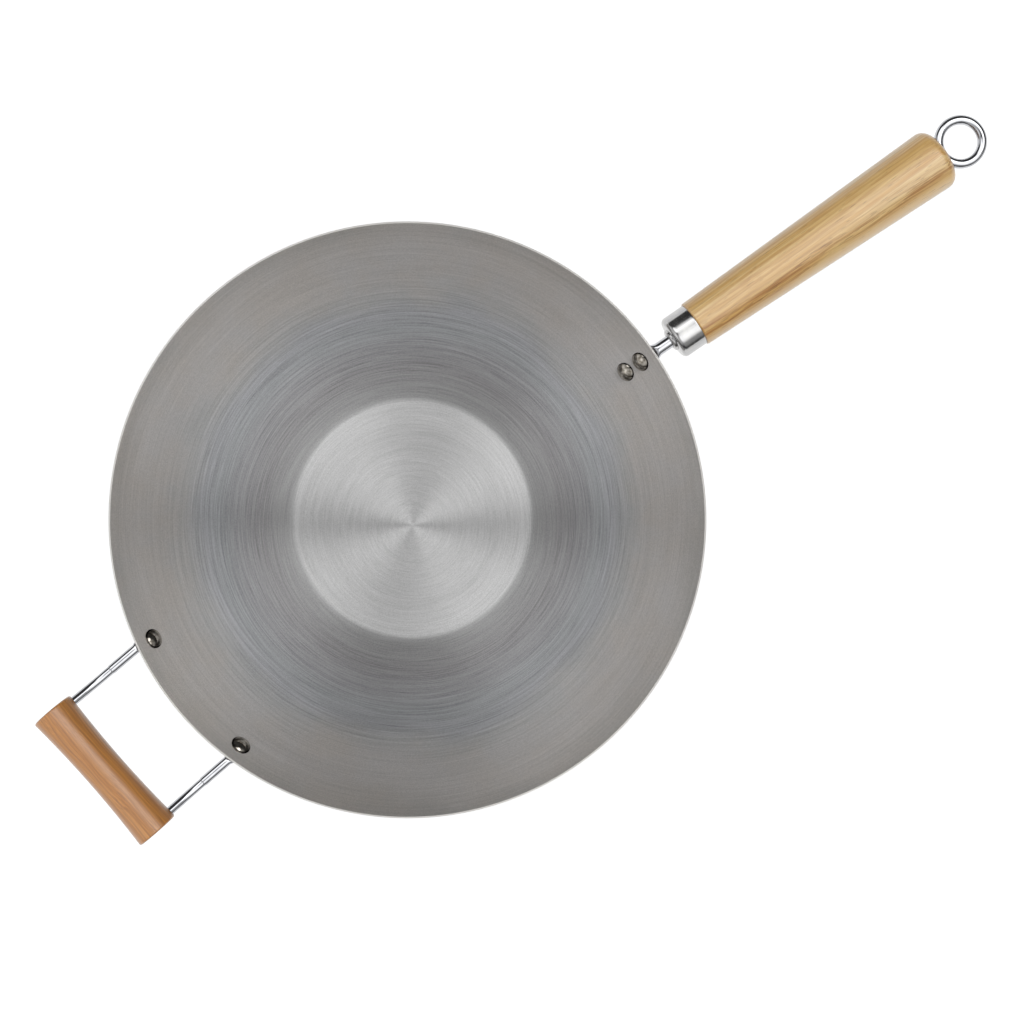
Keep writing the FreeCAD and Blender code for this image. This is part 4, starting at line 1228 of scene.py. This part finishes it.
# %% Camera
PICTURE_TURN = math.radians(34.5)
RIGHT = np.array([math.cos(PICTURE_TURN), -math.sin(PICTURE_TURN), 0])
UP = np.array([math.sin(PICTURE_TURN), math.cos(PICTURE_TURN), 0])
CAMERA_ABOVE_RIM = 1000 * MM
CAMERA_SIDE = 24.8 * MM
CAMERA_UP = 12.2 * MM
AIM_SIDE = 61.2 * MM
AIM_UP = 4.9 * MM
LENS = 58.92
SENSOR = 36


def look(thing, origin, target, up):
    """Stand a camera at origin, looking at target, with up at the top."""
    back = unit(np.array(origin) - np.array(target))
    right = unit(np.cross(up, back))
    matrix = np.eye(4)
    matrix[:3, :3] = np.stack([right, np.cross(back, right), back], axis=1)
    matrix[:3, 3] = origin
    thing.matrix_world = Matrix(matrix.tolist())


camera_data = bpy.data.cameras.new("camera")
camera_data.lens = LENS
camera_data.sensor_width = SENSOR
camera = bpy.data.objects.new("camera", camera_data)
bpy.context.scene.collection.objects.link(camera)
rim_level = np.array([0, 0, RIM_HEIGHT])
above = np.array([0, 0, CAMERA_ABOVE_RIM])
look(camera, rim_level + RIGHT * CAMERA_SIDE + UP * CAMERA_UP + above,
     rim_level + RIGHT * AIM_SIDE + UP * AIM_UP, UP)
bpy.context.scene.camera = camera
print("camera at", [round(value, 3) for value in camera.matrix_world.translation])

# %% [markdown]
# The wok stands on white paper.  The paper is a plain grey surface, so it keeps the wok's
# soft shadow without throwing much light back up, and a glow that only the camera,
# reflections and transmitted rays can see brings it to white.

# %% Floor
SHEET_HALF = 0.36
SHEET_DROP = 0.2 * MM  # how far the sheet lies under the base
FLOOR_TONE = 130  # grey of the sheet, on a screen
FLOOR_MOTTLE = 2
FLOOR_GLOW = 0.92


def make_floor():
    """Grey paper plus a glow that lights nothing."""
    finish = Finish(bpy.data.materials.new("white_paper"))
    greys = (colour(*[FLOOR_TONE + shift] * 3) for shift in (-FLOOR_MOTTLE, FLOOR_MOTTLE))
    tone = finish.mix(finish.noise(finish.object_point(), 60.0, 3.0), *greys)
    rays = finish.node("LightPath").outputs
    looking = finish.maths("MAXIMUM", rays["Is Glossy Ray"], rays["Is Transmission Ray"])
    looking = finish.maths("MAXIMUM", rays["Is Camera Ray"], looking)
    paper = finish.fed("BsdfDiffuse", tone)
    glow = finish.node("Emission")
    finish.feed(glow.inputs["Strength"], finish.product(looking, FLOOR_GLOW))
    both = finish.fed("AddShader", paper.outputs[0], glow.outputs[0])
    finish.feed(finish.node("OutputMaterial").inputs["Surface"], both.outputs[0])
    return finish.holder


floor_mesh = bpy.data.meshes.new("floor")
across, up = RIGHT * SHEET_HALF, UP * SHEET_HALF
middle = RIGHT * AIM_SIDE + UP * AIM_UP - np.array([0, 0, SHEET_DROP])
floor_corners = [(middle + right * across + far * up).tolist()
                 for right, far in ((-1, -1), (1, -1), (1, 1), (-1, 1))]
floor_mesh.from_pydata(floor_corners, [], [(0, 1, 2, 3)])
floor_mesh.materials.append(make_floor())
floor = bpy.data.objects.new("floor", floor_mesh)
bpy.context.scene.collection.objects.link(floor)
print("sheet", 2 * SHEET_HALF, "m wide")

# %% [markdown]
# The studio is a dark room with soft white panels round the wok, and every panel is drawn
# in the sky rather than hung as a lamp: a disc of light whose edge fades out, given by its
# direction in the picture, its height, its radius, the width of its edge and its level.
# Where the panels stand is what draws the fans on the base, bright towards a panel and
# dark towards a gap, and the dark room gives the chrome its black lines.  Two things stand
# in the panels' light: a boom that crosses overhead from left to right, and a narrow stand
# to the right.  Their shade on the sky leaves the dark wedges on the base.  The camera sees
# plain white all round, and below the horizon reflections see it too.
#
# The panels aren't copies of real lamps.  Their directions, heights and sizes are the
# rounded results of a least-squares fit, made outside this script, to the bright and dark
# fans on the real wok's steel.  The levels are the fit's too, times one common factor.  The
# boom and the stand were added as a guess at what darkens the fans.

# %% Panels in the sky
PANELS = (
    # direction in the picture, height, radius, width of the edge (all degrees), level
    (330, 68, 34, 33, 1.56),
    (39, 63, 18, 17, 2.88),
    (138, 57, 20, 8, 1.92),
    (189, 20, 42, 23, 0.70),
    (326, 52, 47, 21, 0.32),
    (90, 68, 16, 15, 1.80),
    (236, 43, 44, 43, 0.60),
)
ROOM_LEVEL = 0.05

# The boom and the stand, measured as how far a direction reaches to the right or up.
BOOM_OFF = -0.03  # how far the boom runs beside the line straight overhead
BOOM_HALF = (0.0, 0.035)  # half its width, where its edge starts and ends
BOOM_SHADE = 0.4
STAND_FROM = (0.32, 0.45)
STAND_TO = (0.80, 0.58)
STAND_HALF = (0.01, 0.06)
STAND_SHADE = 0.85
HORIZON = (0.0, -0.02)


def make_sky():
    """The sum of the panels, dimmed behind the boom and the stand, and white for the camera.

    A panel is at its level within its radius less its edge, and nothing beyond its radius,
    by the cosine of the angle from its middle.
    """
    sky = Finish(bpy.data.worlds.new("studio"))
    bpy.context.scene.world = sky.holder
    direction = sky.node("TexCoord").outputs["Generated"]
    light = ROOM_LEVEL
    for azimuth, height, radius, edge, level in PANELS:
        turn, tilt = math.radians(azimuth), math.radians(height)
        towards = (RIGHT * math.cos(turn) + UP * math.sin(turn)) * math.cos(tilt)
        towards[2] = math.sin(tilt)
        near = sky.along(direction, towards.tolist())
        outer, inner = math.cos(math.radians(radius)), math.cos(math.radians(radius - edge))
        light = sky.maths("ADD", sky.range(near, outer, inner, 0.0, level, smooth=True), light)

    upwards, rightwards = (sky.along(direction, axis.tolist()) for axis in (UP, RIGHT))
    past_boom = sky.range(sky.apart(upwards, BOOM_OFF), *BOOM_HALF, 1 - BOOM_SHADE, 1.0,
                          smooth=True)
    shade = sky.product(
        sky.range(rightwards, *STAND_FROM), sky.range(rightwards, *STAND_TO),
        sky.range(sky.maths("ABSOLUTE", upwards), *STAND_HALF, STAND_SHADE, 0.0, smooth=True))
    strength = sky.product(light, past_boom, sky.maths("SUBTRACT", 1.0, shade))

    rays = sky.node("LightPath").outputs
    below = sky.range(sky.split(direction)[2], *HORIZON)
    white = sky.maths("MAXIMUM", rays["Is Camera Ray"], rays["Is Transmission Ray"])
    white = sky.maths("MAXIMUM", white, sky.product(rays["Is Glossy Ray"], below))
    back = sky.fed("Background", (1.0, 1.0, 1.0, 1.0), sky.range(white, 0, 1, strength, 1.0))
    sky.feed(sky.node("OutputWorld").inputs["Surface"], back.outputs[0])


make_sky()
bpy.context.scene.view_settings.view_transform = "Standard"
print("panels:", len(PANELS))
